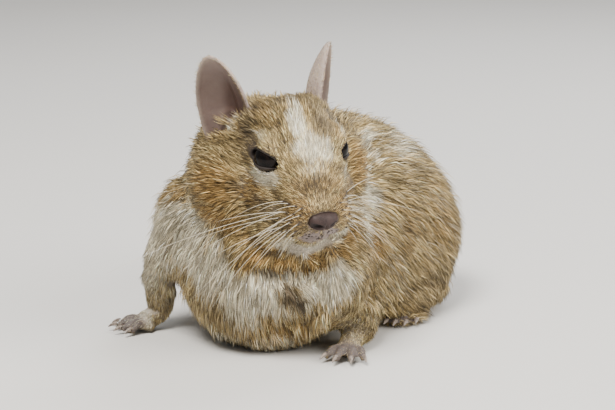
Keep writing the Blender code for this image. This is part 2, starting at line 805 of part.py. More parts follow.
def main():
    for obj in list(bpy.data.objects):
        bpy.data.objects.remove(obj, do_unlink=True)
    random.seed(7)
    head, envelope, nose, eyes = build_head()
    ears = [build_ear(-1, "ear_right"), build_ear(1, "ear_left")]
    for ear in ears:
        clear_of(ear, envelope)
    hands = build_hands()
    feet = build_feet()
    claws = build_claws(hands, feet)
    body = build_body(envelope, feet + claws)
    remove(envelope)
    nodes, tail = part_body(body, hands)
    for ear in ears:
        for node in nodes:
            clear_of(ear, node)
    tail[-1] = build_brush(tail[-1])
    kinds = [(head, "fur"), (nose, "nose")]
    kinds += [(eye, "eye") for eye in eyes]
    kinds += [(ear, "skin") for ear in ears]
    kinds += [(paw, "skin") for paw in hands + feet]
    kinds += [(claw, "claw") for claw in claws]
    kinds += [(node, "fur") for node in nodes + tail[:-1]]
    kinds.append((tail[-1], "brush"))
    for obj, kind in kinds:
        finish(obj, kind)
    place_nodes([obj for obj, _ in kinds])


main()
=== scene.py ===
import math

import bpy
import numpy as np
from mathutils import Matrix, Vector


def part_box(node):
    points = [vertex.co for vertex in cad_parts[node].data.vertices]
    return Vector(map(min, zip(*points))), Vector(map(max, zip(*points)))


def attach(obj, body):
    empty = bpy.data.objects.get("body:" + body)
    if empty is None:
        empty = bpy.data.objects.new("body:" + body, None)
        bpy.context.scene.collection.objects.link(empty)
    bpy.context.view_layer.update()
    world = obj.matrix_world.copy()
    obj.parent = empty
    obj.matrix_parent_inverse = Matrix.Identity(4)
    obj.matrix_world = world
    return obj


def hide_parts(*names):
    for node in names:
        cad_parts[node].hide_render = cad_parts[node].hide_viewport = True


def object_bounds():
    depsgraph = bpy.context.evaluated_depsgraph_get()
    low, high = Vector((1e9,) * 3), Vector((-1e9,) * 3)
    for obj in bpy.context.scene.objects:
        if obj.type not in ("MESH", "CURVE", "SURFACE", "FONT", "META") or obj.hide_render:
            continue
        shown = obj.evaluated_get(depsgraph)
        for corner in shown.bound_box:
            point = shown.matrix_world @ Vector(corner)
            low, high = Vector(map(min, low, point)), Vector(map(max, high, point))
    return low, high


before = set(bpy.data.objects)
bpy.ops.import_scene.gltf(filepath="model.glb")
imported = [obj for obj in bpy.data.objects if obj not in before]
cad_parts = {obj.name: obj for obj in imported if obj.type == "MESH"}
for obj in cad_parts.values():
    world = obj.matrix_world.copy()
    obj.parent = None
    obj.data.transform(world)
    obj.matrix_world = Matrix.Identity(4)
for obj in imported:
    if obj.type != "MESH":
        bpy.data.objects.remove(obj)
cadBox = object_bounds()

# Everything below is worked out in millimetres in the degu's own coordinates,
# then put into metres in the frame by toFrame.

random = np.random.default_rng(20)
print("stage: frame loaded")


def unit(vector):
    vector = np.asarray(vector, float)
    return vector / np.maximum(np.linalg.norm(vector, axis=-1, keepdims=True), 1e-9)


def nodeMiddle(name):
    low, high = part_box(name)
    return (np.array(low) + np.array(high)) * 500.0


# Where the head and the trunk are

head = {
    "yaw": 26.0, "pitch": 18.0, "roll": 3.0,  # degrees, as in the part
    "at": (-2.0, 3.8, 60.0),  # midway between the eyes
    "eyesAhead": 0.8, "eyesUp": 0.2, "eyeSide": 9.7, "eyeRadius": 4.4,
}
trunk = {"yaw": 26.0, "shouldersAt": (-12.0, 27.0, 0.0)}


def headAxes():
    # forward = (sin y cos p, -cos y cos p, -sin p); left and up turned by the roll.
    y, p, r = (math.radians(head[k]) for k in ("yaw", "pitch", "roll"))
    forward = np.array([math.sin(y) * math.cos(p), -math.cos(y) * math.cos(p), -math.sin(p)])
    left = np.array([math.cos(y), math.sin(y), 0.0])
    up = np.array([math.sin(y) * math.sin(p), -math.cos(y) * math.sin(p), math.cos(p)])
    return forward, left * math.cos(r) + up * math.sin(r), up * math.cos(r) - left * math.sin(r)


forward, left, up = headAxes()
back = np.array([math.sin(math.radians(trunk["yaw"])), math.cos(math.radians(trunk["yaw"])), 0.0])
flank = np.array([back[1], -back[0], 0.0])
sky = np.array([0.0, 0.0, 1.0])
headAt = np.array(head["at"])
shouldersAt = np.array(trunk["shouldersAt"])
eyesMiddle = (nodeMiddle("eye_right") + nodeMiddle("eye_left")) / 2
shift = headAt + forward * head["eyesAhead"] + up * head["eyesUp"] - eyesMiddle


def toFrame(points):
    return (np.asarray(points, float) - shift) / 1000.0


def onHead(f, l, u):
    return headAt + forward * f + left * l + up * u


def onSide(place, side):
    f, l, u = place
    return onHead(f, side * l, u)


def onTrunk(a, l, z):
    return shouldersAt + back * a + flank * l + sky * z


def headWay(f, l, u):
    return unit(forward * f + left * l + up * u)


def trunkWay(a, l, z):
    return unit(back * a + flank * l + sky * z)


def headPlace(points):
    away = points - headAt
    return np.stack([away @ forward, away @ left, away @ up], -1)


def trunkPlace(points):
    away = points - shouldersAt
    return np.stack([away @ back, away @ flank, away @ sky], -1)


def softStep(low, high, x):
    # 3t^2 - 2t^3 of t = (x - low) / (high - low), kept from 0 to 1.
    t = np.clip((x - low) / (high - low), 0, 1)
    return t * t * (3 - 2 * t)


def hill(x, width):
    # exp(-(x / width)^2)
    return np.exp(-(x / width) ** 2)


def mottle(points, size, seed, waves=7):
    # A sum of sine waves along random directions, of about that size in mm, from -1 to 1.
    draw = np.random.default_rng(seed)
    ways = unit(draw.normal(size=(waves, 3))) * (2 * math.pi / (size * draw.uniform(0.7, 1.6, (waves, 1))))
    return np.sin(points @ ways.T + draw.uniform(0, 6.3, waves)).sum(1) / math.sqrt(waves) / 1.4


# Meshes from arrays


def meshPiece(name, points, faces, material, smooth=True):
    # One object at the origin from points in mm and faces of equal corner count, or a list of such arrays.
    groups = faces if isinstance(faces, list) else [faces]
    corners = np.concatenate([g.ravel() for g in groups]).astype(np.int32)
    sizes = np.concatenate([np.full(len(g), g.shape[1], np.int32) for g in groups])
    starts = np.concatenate([[0], np.cumsum(sizes)[:-1]]).astype(np.int32)
    mesh = bpy.data.meshes.new(name)
    mesh.vertices.add(len(points))
    mesh.vertices.foreach_set("co", toFrame(points).astype(np.float32).ravel())
    mesh.loops.add(len(corners))
    mesh.loops.foreach_set("vertex_index", corners)
    mesh.polygons.add(len(sizes))
    mesh.polygons.foreach_set("loop_start", starts)
    mesh.polygons.foreach_set("use_smooth", np.full(len(sizes), smooth))
    mesh.update(calc_edges=True)
    piece = bpy.data.objects.new(name, mesh)
    bpy.context.scene.collection.objects.link(piece)
    if material is not None:
        mesh.materials.append(material)
    return piece


def setValues(piece, **values):
    # Float attributes on the points of a piece.
    for name, array in values.items():
        field = piece.data.attributes.new(name, "FLOAT", "POINT")
        field.data.foreach_set("value", np.asarray(array, np.float32))


def closedGrid(rings):
    # Rings of equal count skinned one to the next, each end closed on its middle point.
    rings = np.asarray(rings, float)
    levels, count, _ = rings.shape
    base = np.arange(levels * count).reshape(levels, count)
    over = np.roll(base, -1, axis=1)
    sides = np.stack([base[:-1], over[:-1], over[1:], base[1:]], -1).reshape(-1, 4)
    ends = np.array([levels * count, levels * count + 1])
    first = np.stack([over[0], base[0], np.full(count, ends[0])], -1)
    last = np.stack([base[-1], over[-1], np.full(count, ends[1])], -1)
    points = np.concatenate([rings.reshape(-1, 3), rings[0].mean(0)[None], rings[-1].mean(0)[None]])
    return points, [sides, np.concatenate([first, last])]


def ballRings(centre, axes, radii, levels=24, count=32):
    # centre + a cos t axis0 + b sin t (cos w axis1 + ...) with t from pole to pole: an ellipsoid's rings.
    t = np.linspace(0, math.pi, levels + 2)[1:-1, None, None]
    w = np.linspace(0, 2 * math.pi, count, endpoint=False)[None, :, None]
    a, b, c = (np.asarray(axis) * radius for axis, radius in zip(axes, radii))
    return np.asarray(centre) + a * np.cos(t) + (b * np.cos(w) + c * np.sin(w)) * np.sin(t)


# The coat's plan: how the hair lies, place by place

# rows: place and way of the hair (forward, left, up), length mm, depth of the skin below the coat mm,
# tufts per mm2 and lift; on the middle line, then on both sides
headRows = [
    (17, 0, -8.5, -0.7, 0, 0.7, 1.3, 0.35, 5.5, 0.35), (11, 0, -2, -1, 0, 0.5, 2.4, 0.55, 4.6, 0.34),
    (5, 0, 5, -1, 0, 0.45, 3.2, 0.8, 4.2, 0.36), (-4, 0, 11, -1, 0, 0.3, 4.6, 1.2, 3.4, 0.5),
    (-14, 0, 13, -1, 0, -0.1, 6.4, 1.9, 2.6, 0.6), (-22, 0, 10, -1, 0, -0.4, 7, 2.4, 2.2, 0.42),
    (10, 0, -21, -0.8, 0, -0.6, 2.6, 0.7, 3.8, 0.36), (0, 0, -26, -0.6, 0, -0.8, 5.6, 2, 2.6, 0.34),
]
headSideRows = [
    (16, 3.4, -16.5, -0.7, 0.6, -0.3, 0.9, 0.3, 5, 0.3), (14, 6, -10, -0.9, 0.45, 0.15, 1.8, 0.45, 5.2, 0.34),
    (10, 9, -15, -0.95, 0.35, -0.2, 2.4, 0.6, 4.6, 0.36), (7, 9, -5, -1, 0.25, -0.05, 2.4, 0.6, 4.8, 0.3),
    (7, 7, 2, -1, 0.15, 0.35, 2.5, 0.6, 4.8, 0.32), (0, 9.5, 7, -1, 0.1, 0.5, 2.8, 0.7, 4.6, 0.36),
    (0, 13, -7, -1, 0.15, -0.3, 3.4, 0.9, 4, 0.32), (-8, 14, 2, -1, 0.15, -0.1, 3.6, 1, 3.8, 0.34),
    (-6, 18, -12, -0.9, 0.1, -0.45, 5, 1.5, 3, 0.38), (-17, 22, -14, -0.8, 0, -0.6, 6.5, 2.2, 2.4, 0.42),
    (-2, 14, -23, -0.8, 0.1, -0.6, 5.2, 1.6, 3, 0.36), (8, 8, -20, -0.85, 0.2, -0.5, 3.4, 0.9, 3.8, 0.36),
    (-12, 11, 9, -0.7, 0.3, 0.5, 4.2, 1, 3.6, 0.5), (-14.5, 12.6, 6.5, -0.6, 0.7, 0.35, 6.2, 1, 1.6, 0.8),
    (-13.5, 15.5, 1, -0.75, 0.5, 0.2, 5, 1, 1.8, 0.6), (-18.5, 14, 2.5, -0.8, 0.3, 0.3, 4.6, 1, 0.5, 0.5),
    (-20, 16, 2, -0.9, 0.3, 0.1, 4.6, 1.2, 3.4, 0.42),
]
# the same on the trunk (back, left, up)
trunkRows = [
    (6, 0, 62, 1, 0, -0.1, 9.5, 3, 1.7, 0.42), (34, 0, 64, 1, 0, -0.15, 10, 3.2, 1.5, 0.42),
    (64, 0, 53, 0.9, 0, -0.5, 10, 3.2, 1.5, 0.36), (84, 0, 28, 0.5, 0, -0.85, 8, 2.2, 1.7, 0.3),
    (86, 0, 12, 0.9, 0, -0.4, 5.5, 1.4, 2.2, 0.3), (-22, 0, 34, 0.2, 0, -1, 7, 2.4, 1.9, 0.3),
    (-22, 0, 18, 0.45, 0, -1, 7.5, 2.4, 1.8, 0.32), (-12, 0, 4, 0.9, 0, -0.4, 5.5, 1.6, 1.8, 0.25),
    (30, 0, 0, 1, 0, 0, 5, 0.8, 1.4, 0.1),
]
trunkSideRows = [
    (4, 20, 56, 0.85, 0.2, -0.5, 9.5, 3, 1.7, 0.44), (34, 22, 56, 0.85, 0.15, -0.5, 10, 3.2, 1.5, 0.42),
    (66, 20, 42, 0.7, 0.1, -0.7, 9.5, 3, 1.5, 0.36), (16, 31, 36, 0.7, 0.05, -0.7, 9.5, 3, 1.6, 0.4),
    (14, 30, 16, 0.75, 0, -0.65, 8.5, 2.6, 1.7, 0.34), (44, 38, 26, 0.65, 0, -0.75, 9, 2.8, 1.6, 0.36),
    (60, 36, 10, 0.5, 0, -0.6, 6.5, 1.8, 1.9, 0.3), (34, 34, 8, 0.75, 0, -0.5, 7, 2, 1.7, 0.3),
    (-4, 26, 38, 0.35, 0.1, -0.95, 8, 2.5, 1.8, 0.34), (-18, 14, 30, 0.25, 0.2, -1, 7.5, 2.4, 1.9, 0.32),
    (-14, 18, 14, 0.5, 0, -0.9, 7, 2.2, 1.8, 0.3), (20, 18, 0, 1, 0, 0, 4.5, 0.8, 1.4, 0.1),
]
coatPlan = []


def lay(where, way, long, deep, crowd, lift):
    coatPlan.append((*where, *way, long, deep, crowd, lift))


def layRows(rows, on, way, side=1):
    for a, l, z, wayA, wayL, wayZ, *size in rows:
        lay(on(a, side * l, z), way(wayA, side * wayL, wayZ), *size)


def planHead():
    layRows(headRows, onHead, headWay)
    for side in (-1, 1):
        layRows(headSideRows, onHead, headWay, side)


def planBody():
    layRows(trunkRows, onTrunk, trunkWay)
    for side in (-1, 1):
        layRows(trunkSideRows, onTrunk, trunkWay, side)
        lay(onTrunk(60, side * 26.5, 3), -back, 1.6, 0.4, 3.4, 0.25)  # the hind feet
        lay(onTrunk(40, side * 27, 4), -back, 1.0, 0.2, 4.0, 0.22)


armRight = [(-29, 33, 36), (-38, 36, 27), (-43.2, 38.5, 18.5), (-43.8, 39, 11), (-44, 39, 5.6)]
armLeft = [(7, 28, 24), (13, 26, 14), (16, 21, 7.5), (14.4, 16.5, 5.4), (13, 12.5, 4.4)]
reachRight = unit([-0.93, -0.34, -0.12])
reachLeft = unit([-0.22, -0.97, -0.1])
tailRoot = onTrunk(88, 0, 0)
tailPath = [(0, 19, 2.4), (-4, 41, 2.2), (-10, 63, 2.0), (-14, 84.8, 1.9), (-13, 106, 1.6)]


# length, depth and tufts per mm2 from the shoulder to the wrist
armSizes = [(7.0, 2.2, 1.9), (5.0, 1.6, 2.4), (3.2, 0.9, 3.2), (2.2, 0.5, 4.0), (1.5, 0.3, 4.6)]


def planLimbs():
    for arm, reach in ((armRight, reachRight), (armLeft, reachLeft)):
        stops = np.array(arm, float)
        ways = unit(np.gradient(stops, axis=0))
        for stop, way, size in zip(stops, ways, armSizes):
            lay(stop, way, *size, 0.32)
        lay(stops[-1] + reach * 9, reach, 0.9, 0.12, 4.6, 0.25)
    for x, y, z in tailPath:
        lay(tailRoot + (x, y, z), unit([-0.12, 1, 0]), 2.2, 0.35, 2.6, 0.3)
    lay(tailRoot + (1, 6, 5), unit([0, 1, -0.3]), 4.0, 0.9, 2.6, 0.3)


planHead()
planBody()
planLimbs()
coatPlan = np.array(coatPlan, float)


def coatAt(points):
    # The plan's rows blended with weights 1 / (distance^2 + 9)^2, as columns way, long, deep, crowd, lift.
    out = np.zeros((len(points), 7))
    for start in range(0, len(points), 40000):
        chunk = points[start:start + 40000]
        apart = ((chunk ** 2).sum(1)[:, None] + (coatPlan[:, :3] ** 2).sum(1)[None] - 2 * chunk @ coatPlan[:, :3].T)
        weight = 1.0 / (np.maximum(apart, 0) + 9.0) ** 2
        out[start:start + 40000] = weight @ coatPlan[:, 3:] / weight.sum(1, keepdims=True)
    return out


# Markings

# centre on the head (forward, left, up), radii and strength of each blot
headMarks = {
    "white": [
        (-5.5, -0.9, 13, 6, 2.4, 4, 1), (1, -2.2, 10, 5, 2.6, 4, 1), (7, -1, 5, 4.8, 5.4, 4.5, 0.8),
        (7.6, 3, 4, 4, 4.2, 4.5, 0.7), (11.4, -0.4, 1, 3.6, 4.2, 3, 0.45),
        (-1.8, -12, 5.6, 3.4, 3.4, 2.2, 0.5), (4, -12.9, -3.8, 6.4, 4, 2.9, 0.74),
        (7, 11, -3.5, 3.6, 3.4, 2.4, 0.6), (1.2, 12, 6.6, 3, 3, 2.4, 0.4), (11.5, 1, -23.5, 5, 7, 3, 0.9),
        (10.5, -6, -23.5, 3.4, 3.4, 2, 0.7),
    ],
    "dark": [
        (-5, -14.5, 0.8, 3.6, 2.4, 3, 0.6), (-10, -12.5, 8, 4, 3, 4, 0.6), (-8.5, 0, 13.5, 4.6, 11, 4, 0.62),
        (-6.5, 4.2, 13.5, 4, 2.2, 3, 0.6), (-2, 5.5, 11.5, 5, 3, 3, 0.6), (1.8, 5.2, 9.2, 6.5, 3.8, 4.4, 0.75),
        (12.6, 0.5, -2.5, 3.2, 6.5, 2.6, 0.3), (-13, 0, 13.5, 4, 12, 4, 0.6), (2.5, 13.5, -3, 3.4, 3, 6, 0.5),
        (5.4, -13.5, -9.6, 5.5, 3, 1.3, 0.5), (13.5, 0, -5.5, 2.6, 5, 2, 0.3),
        (-1, -18.5, -8.2, 2.4, 2.2, 4, 0.5), (8.2, -12, -11.4, 3.4, 3, 1.6, 0.45),
        (7.5, 14.5, -8, 4, 3, 5, 0.5),
    ],
    "warm": [
        (-5.2, -23, -9.6, 8, 6, 6, 1), (2.4, -15.5, -9, 5.2, 5, 3.8, 1), (-4, -20, -20, 9, 7, 4.5, 0.9),
        (-5.2, 23, -9.6, 8, 6, 6, 0.8), (4, 14.5, -9, 5.6, 5, 3.8, 0.9), (15.5, -6.6, -9.5, 4.2, 4, 4, 0.95),
        (15.5, 6.6, -9.5, 4.2, 4, 4, 0.9), (-6, -9, 10.5, 7, 3.4, 4, 0.55), (0, 10, 8.5, 6, 3.4, 4, 0.5),
        (12.5, 0, -4, 3.6, 8, 3.6, 0.6),
    ],
}
headSideMarks = {
    "white": [
        (-16.5, 14, 3.5, 4, 3, 4.6, 0.66), (9.5, 7.5, -21, 5, 4.4, 3, 0.75),
    ],
    "dark": [
        (-6.2, 13.6, 4.2, 4.8, 2.6, 4.6, 0.75), (-12, 11.5, 10, 4.4, 4, 5, 0.7),
        (9, 8.8, -18.2, 3.4, 3.4, 1.4, 0.5),
    ],
    "warm": [
        (6, 12, -24, 8, 6, 3, 0.9),
    ],
}  # on both sides
for kind, rows in headSideMarks.items():
    headMarks[kind] += [(f, side * l, *rest) for f, l, *rest in rows for side in (-1, 1)]
# the same on the trunk (back, left, up)
trunkMarks = {
    "white": [
        (-19, -16, 34, 8, 10, 10, 1), (-15, -26, 38, 7, 8, 8, 0.95), (-26, -7, 25, 9, 9, 8, 0.9),
        (-25, 6, 19, 8, 10, 7, 0.9), (-22, 20, 21.5, 9, 12, 6.5, 1), (-14, 29, 23, 8, 8, 6, 0.85),
        (-10, -30, 28, 6, 7, 7, 0.7), (-13, -44, 4, 9, 9, 4, 0.9), (12, 27.5, 46, 4.5, 7, 6.5, 0.85),
        (6, 28, 40, 3.5, 6, 9, 0.5), (31, 19, 59, 9, 2.4, 6, 0.6), (22, 23, 57, 5, 2, 6, 0.45),
        (44, 22, 52, 9, 3.5, 7, 0.4), (-14, 0, 3, 8, 20, 4, 0.3), (4, -30, 14, 10, 8, 7, 0.35),
        (-10, -36, 20, 9, 8, 10, 0.45),
    ],
    "ochre": [
        (-25.5, 8.5, 29.5, 5, 6, 3, 1), (-22, 16.9, 28.4, 5, 5.5, 2.8, 1), (-16.7, 24.7, 29, 5, 5.5, 2.8, 1),
        (-11.8, 29.3, 30.5, 5, 5, 3, 0.9), (-13.6, -25, 43.5, 7, 8, 4, 0.55),
    ],
    "dark": [
        (-25.6, -6.5, 19.5, 5, 6, 5, 0.5), (18, 12, 62, 14, 9, 6, 0.5), (-21.4, 18, 20.4, 6, 4, 4.6, 1),
        (-24, -3, 14, 6, 7, 5, 0.6), (40, 37, 10, 14, 10, 9, 0.45), (30, 0, 66, 34, 8, 6, 0.3),
        (2, 27, 34, 3, 6, 12, 0.45), (-16, -50, 2.5, 7, 5, 3, 0.8), (60, 20, 45, 14, 12, 10, 0.25),
        (60, -20, 45, 14, 14, 10, 0.3),
    ],
    "warm": [
        (8, 31, 30, 7, 6, 6, 1), (26, 34, 31, 9, 6, 9, 0.55), (-16, 12, 7, 10, 16, 5, 0.7),
        (8, -31, 30, 12, 8, 9, 0.6), (50, 30, 30, 12, 12, 10, 0.5),
    ],
}


def coatMarks(points):
    # How white, warm or dark the hair is: blots exp(-(d / 1.05)^4) of the scaled distance d, with mottled edges.
    wander = np.stack([mottle(points, 7, k) for k in (3, 4, 5)], -1)
    values = {kind: np.zeros(len(points)) for kind in ("white", "warm", "dark", "ochre")}
    for marks, place in ((headMarks, headPlace(points + wander * 0.9)),
                         (trunkMarks, trunkPlace(points + wander * 2))):
        for kind, rows in marks.items():
            for row in rows:
                distance = np.linalg.norm((place - row[:3]) / row[3:6], axis=1)
                values[kind] = np.maximum(values[kind], row[6] * np.exp(-(distance / 1.05) ** 4))
    ochre = values.pop("ochre")
    values["warm"] = np.maximum(values["warm"], ochre)
    values["white"] = values["white"] * (1 - 0.9 * values["dark"]) * (1 - ochre)
    plain = (1 - ochre) * (1 - values["dark"])
    fine = mottle(points, 3.2, 11)
    broad = mottle(points, 11, 12)
    values["warm"] = np.clip(values["warm"] + 0.16 * broad + 0.1, 0, 1)
    values["dark"] = np.clip(values["dark"] + 0.24 * fine * (1 - values["white"]), 0, 1)
    onBody = softStep(22, 30, np.linalg.norm(points - onHead(-4, 0, -6), axis=1))
    values["white"] = np.clip(values["white"] * (1 + 0.1 * fine) + (0.06 * broad + 0.27 * onBody) * plain, 0, 1)
    return values


# Materials


class Tree:
    # Short calls for a node tree: each makes a node, sets or links its inputs, and returns an output.

    def __init__(self, tree):
        self.tree = tree

    def node(self, kind, output=0, settings=None, **inputs):
        made = self.tree.nodes.new("ShaderNode" + kind)
        for name, value in (settings or {}).items():
            setattr(made, name, value)
        for name, value in inputs.items():
            place = int(name[1:]) if name[0] == "_" and name[1:].isdigit() else name.replace("_", " ")
            self.put(made.inputs[place], value)
        return made.outputs[output]

    def put(self, place, value):
        if isinstance(value, bpy.types.NodeSocket):
            self.tree.links.new(value, place)
        elif isinstance(value, tuple) and len(value) == 3 and place.type == "RGBA":
            place.default_value = (*value, 1.0)
        else:
            place.default_value = value

    def give(self, shader, **inputs):
        for name, value in inputs.items():
            self.put(shader.inputs[name.replace("_", " ")], value)

    def math(self, operation, a, b=0.0, clamp=False):
        return self.node("Math", settings={"operation": operation, "use_clamp": clamp}, _0=a, _1=b)

    def mix(self, share, a, b, blend="MIX"):
        return self.node("MixRGB", settings={"blend_type": blend}, Fac=share, Color1=a, Color2=b)

    def step(self, value, low, high, to=1.0):
        return self.node("MapRange", settings={"interpolation_type": "SMOOTHSTEP"}, Value=value,
                         From_Min=low, From_Max=high, To_Min=0.0, To_Max=to)

    def attribute(self, name):
        return self.node("Attribute", output=2, settings={"attribute_name": name})

    def place(self):
        return self.node("TexCoord", output=3)

    def noise(self, scale, detail=2.0, rough=0.5):
        return self.node("TexNoise", Vector=self.place(), Scale=scale, Detail=detail, Roughness=rough)


hairColours = {
    "sandy": (0.395, 0.295, 0.135), "warm": (0.34, 0.21, 0.07), "white": (0.67, 0.60, 0.445),
    "dark": (0.085, 0.064, 0.043), "tip": (0.055, 0.042, 0.03), "pale": (0.60, 0.49, 0.27),
    "root": (0.095, 0.075, 0.053), "whiteRoot": (0.33, 0.30, 0.265),
}


def makeHairGroup():
    # Agouti hair: grey-brown root, sandy middle, dark or pale tip; plain where the coat is white.
    group = bpy.data.node_groups.new("agouti hair", "ShaderNodeTree")
    for name in ("Along", "White", "Warm", "Dark", "Pick"):
        group.interface.new_socket(name, in_out="INPUT", socket_type="NodeSocketFloat")
    group.interface.new_socket("Color", in_out="OUTPUT", socket_type="NodeSocketColor")
    tree = Tree(group)
    given = group.nodes.new("NodeGroupInput").outputs
    result = group.nodes.new("NodeGroupOutput")
    colour = tree.mix(given["Warm"], hairColours["sandy"], hairColours["warm"])
    paler = tree.math("MULTIPLY", tree.step(given["Pick"], 0.72, 0.9), tree.step(given["Along"], 0.35, 0.7))
    colour = tree.mix(tree.math("MULTIPLY", paler, 0.6), colour, hairColours["pale"])
    darker = tree.math("MULTIPLY", tree.step(given["Pick"], 0.5, 0.3), tree.step(given["Along"], 0.45, 0.85))
    colour = tree.mix(tree.math("MULTIPLY", darker, 0.85), colour, hairColours["tip"])
    colour = tree.mix(tree.math("MULTIPLY", given["Dark"], 0.93), colour, hairColours["dark"])
    colour = tree.mix(tree.step(given["Along"], 0.42, 0.06), colour, hairColours["root"])
    white = tree.mix(tree.step(given["Along"], 0.35, 0.02), hairColours["white"], hairColours["whiteRoot"])
    colour = tree.mix(given["White"], colour, white)
    shade = tree.math("POWER", 5.0, tree.math("SUBTRACT", given["Pick"], 0.52))
    shade = tree.node("CombineColor", _0=shade, _1=shade, _2=shade)
    settings = {"blend_type": "MULTIPLY", "use_clamp": True}
    colour = tree.node("MixRGB", settings=settings, Fac=1.0, Color1=colour, Color2=shade)
    tree.put(result.inputs["Color"], colour)
    return group


hairGroup = makeHairGroup()


def newMaterial(name, **fixed):
    # A material with a Principled shader whose plain values are set on its own sockets.
    material = bpy.data.materials.new(name)
    material.use_nodes = True
    shader = material.node_tree.nodes["Principled BSDF"]
    tree = Tree(material.node_tree)
    tree.give(shader, **fixed)
    return material, tree, shader


def hairNode(material, tree, *names):
    # the agouti group, with those of its inputs read from the mesh
    group = material.node_tree.nodes.new("ShaderNodeGroup")
    group.node_tree = hairGroup
    for name in names:
        tree.put(group.inputs[name], tree.attribute(name.lower()))
    return group


def makeCoatMaterial():
    material, tree, shader = newMaterial("degu coat", Roughness=0.62, Specular_IOR_Level=0.28)
    group = hairNode(material, tree, "Along", "White", "Warm", "Dark", "Pick")
    tree.give(shader, Base_Color=group.outputs["Color"])
    rough = tree.step(tree.attribute("pick"), 0.0, 1.0, 0.16)
    tree.give(shader, Roughness=tree.math("ADD", rough, 0.52))
    return material


def makeSkinMaterial():
    # Undercoat in the coat's own markings, and bare skin on the ears, lips, paws and tail, with painted shade inside
    # the ears.
    material, tree, shader = newMaterial("degu skin", Specular_IOR_Level=0.3, Subsurface_Weight=0.12,
                                         Subsurface_Radius=(0.002, 0.0009, 0.0006), Subsurface_Scale=0.6)
    group = hairNode(material, tree, "White", "Warm", "Dark")
    tree.put(group.inputs["Along"], 0.14)
    tree.put(group.inputs["Pick"], tree.noise(2600.0))
    blush = tree.mix(tree.step(tree.noise(160.0, 3.0), 0.35, 0.7), (0.50, 0.40, 0.35), (0.38, 0.30, 0.28))
    # painted shade: the 'shade' attribute darkens the inside of each ear's cup
    blush = tree.mix(tree.attribute("shade"), blush, (0.065, 0.034, 0.025))
    blush = tree.mix(tree.attribute("grey"), blush, (0.050, 0.042, 0.040))
    specks = tree.node("TexVoronoi", Vector=tree.place(), Scale=1150.0)
    dots = tree.math("MULTIPLY", tree.step(specks, 0.47, 0.38), tree.attribute("dots"))
    blush = tree.mix(dots, blush, (0.022, 0.015, 0.013))
    colour = tree.mix(tree.attribute("bare"), group.outputs["Color"], blush)
    tree.give(shader, Base_Color=colour)
    smoother = tree.math("MULTIPLY", tree.attribute("bare"), 0.27)
    tree.give(shader, Roughness=tree.math("SUBTRACT", 0.85, smoother))
    height = tree.math("ADD", tree.math("MULTIPLY", specks, 0.6), tree.noise(900.0, 4.0))
    tree.give(shader, Normal=tree.node("Bump", Strength=0.35, Distance=0.00025, Height=height))
    return material


def makeEyeMaterial():
    material, tree, shader = newMaterial("degu eye", Roughness=0.12, Specular_IOR_Level=0.12)
    ring = tree.step(tree.noise(700.0, 3.0), 0.4, 0.7)
    tree.give(shader, Base_Color=tree.mix(ring, (0.003, 0.0025, 0.0025), (0.008, 0.005, 0.004)))
    return material


def makeNoseMaterial():
    material, tree, shader = newMaterial("degu nose", Specular_IOR_Level=0.25)
    cells = tree.node("TexVoronoi", Vector=tree.place(), Scale=1900.0, settings={"feature": "DISTANCE_TO_EDGE"})
    patchy = tree.mix(tree.step(tree.noise(420.0, 3.0), 0.35, 0.65), (0.042, 0.025, 0.023), (0.024, 0.015, 0.014))
    patchy = tree.mix(tree.step(cells, 0.1, 0.0), patchy, (0.045, 0.028, 0.026))
    # painted shade: the nostrils, by their 'deep' share, are darkened
    tree.give(shader, Base_Color=tree.mix(tree.attribute("deep"), patchy, (0.012, 0.008, 0.008)))
    tree.give(shader, Roughness=tree.math("ADD", 0.45, tree.math("MULTIPLY", tree.noise(300.0), 0.18)))
    tree.give(shader, Normal=tree.node("Bump", Strength=0.5, Distance=0.00012, Height=cells))
    return material


def makeHornMaterial(name, light, deep, rough):
    material, tree, shader = newMaterial(name, Specular_IOR_Level=0.4)
    streak = tree.noise(1500.0, 3.0)
    tree.give(shader, Base_Color=tree.mix(tree.step(streak, 0.35, 0.7), light, deep))
    tree.give(shader, Roughness=tree.math("ADD", rough, tree.math("MULTIPLY", streak, 0.2)))
    tree.give(shader, Normal=tree.node("Bump", Strength=0.25, Distance=0.0001, Height=streak))
    return material


def makeLidMaterial():
    material, tree, shader = newMaterial("degu eyelid", Roughness=0.6, Specular_IOR_Level=0.25)
    skinTone = tree.mix(tree.step(tree.noise(1500.0, 3.0), 0.35, 0.7), (0.075, 0.055, 0.036), (0.04, 0.03, 0.022))
    colour = tree.mix(tree.attribute("rim"), skinTone, (0.018, 0.013, 0.011))
    tree.give(shader, Base_Color=colour)
    return material


def makeWhiskerMaterial():
    material, tree, shader = newMaterial("degu whisker", Roughness=0.4, Specular_IOR_Level=0.35)
    tree.give(shader, Base_Color=tree.mix(tree.attribute("root"), (0.76, 0.69, 0.55), (0.045, 0.03, 0.022)))
    return material


coatMaterial = makeCoatMaterial()
skinMaterial = makeSkinMaterial()
eyeMaterial = makeEyeMaterial()
noseMaterial = makeNoseMaterial()
clawMaterial = makeHornMaterial("degu claw", (0.30, 0.25, 0.21), (0.13, 0.10, 0.085), 0.3)
bristleMaterial = makeHornMaterial("degu bristle", (0.075, 0.058, 0.045), (0.03, 0.024, 0.02), 0.5)
whiskerMaterial = makeWhiskerMaterial()
lidMaterial = makeLidMaterial()
print("stage: materials made")

# The skin

skinPlan = {
    "voxel": 0.42,  # mm, of the remesh that joins the flesh
    "overlap": 0.35,  # mm that each solid grows before it is joined
    "smoothing": 8,
    "triangles": 185000,
}
earPlan = {
    "centre": (-19.4, 16.1, 6.8), "high": 30.0, "wide": 17.4, "cup": 4.6, "thick": 1.0,
    "hollowAt": (-17.5, 15.0, 2.0), "hollowDeep": 3.4, "hollowWide": 5.0,  # in front of the ear
    "cushionAt": (-20.0, 12.2, 0.0), "cushion": (5.4, 4.6, 3.6),  # carries the ear on the head
}


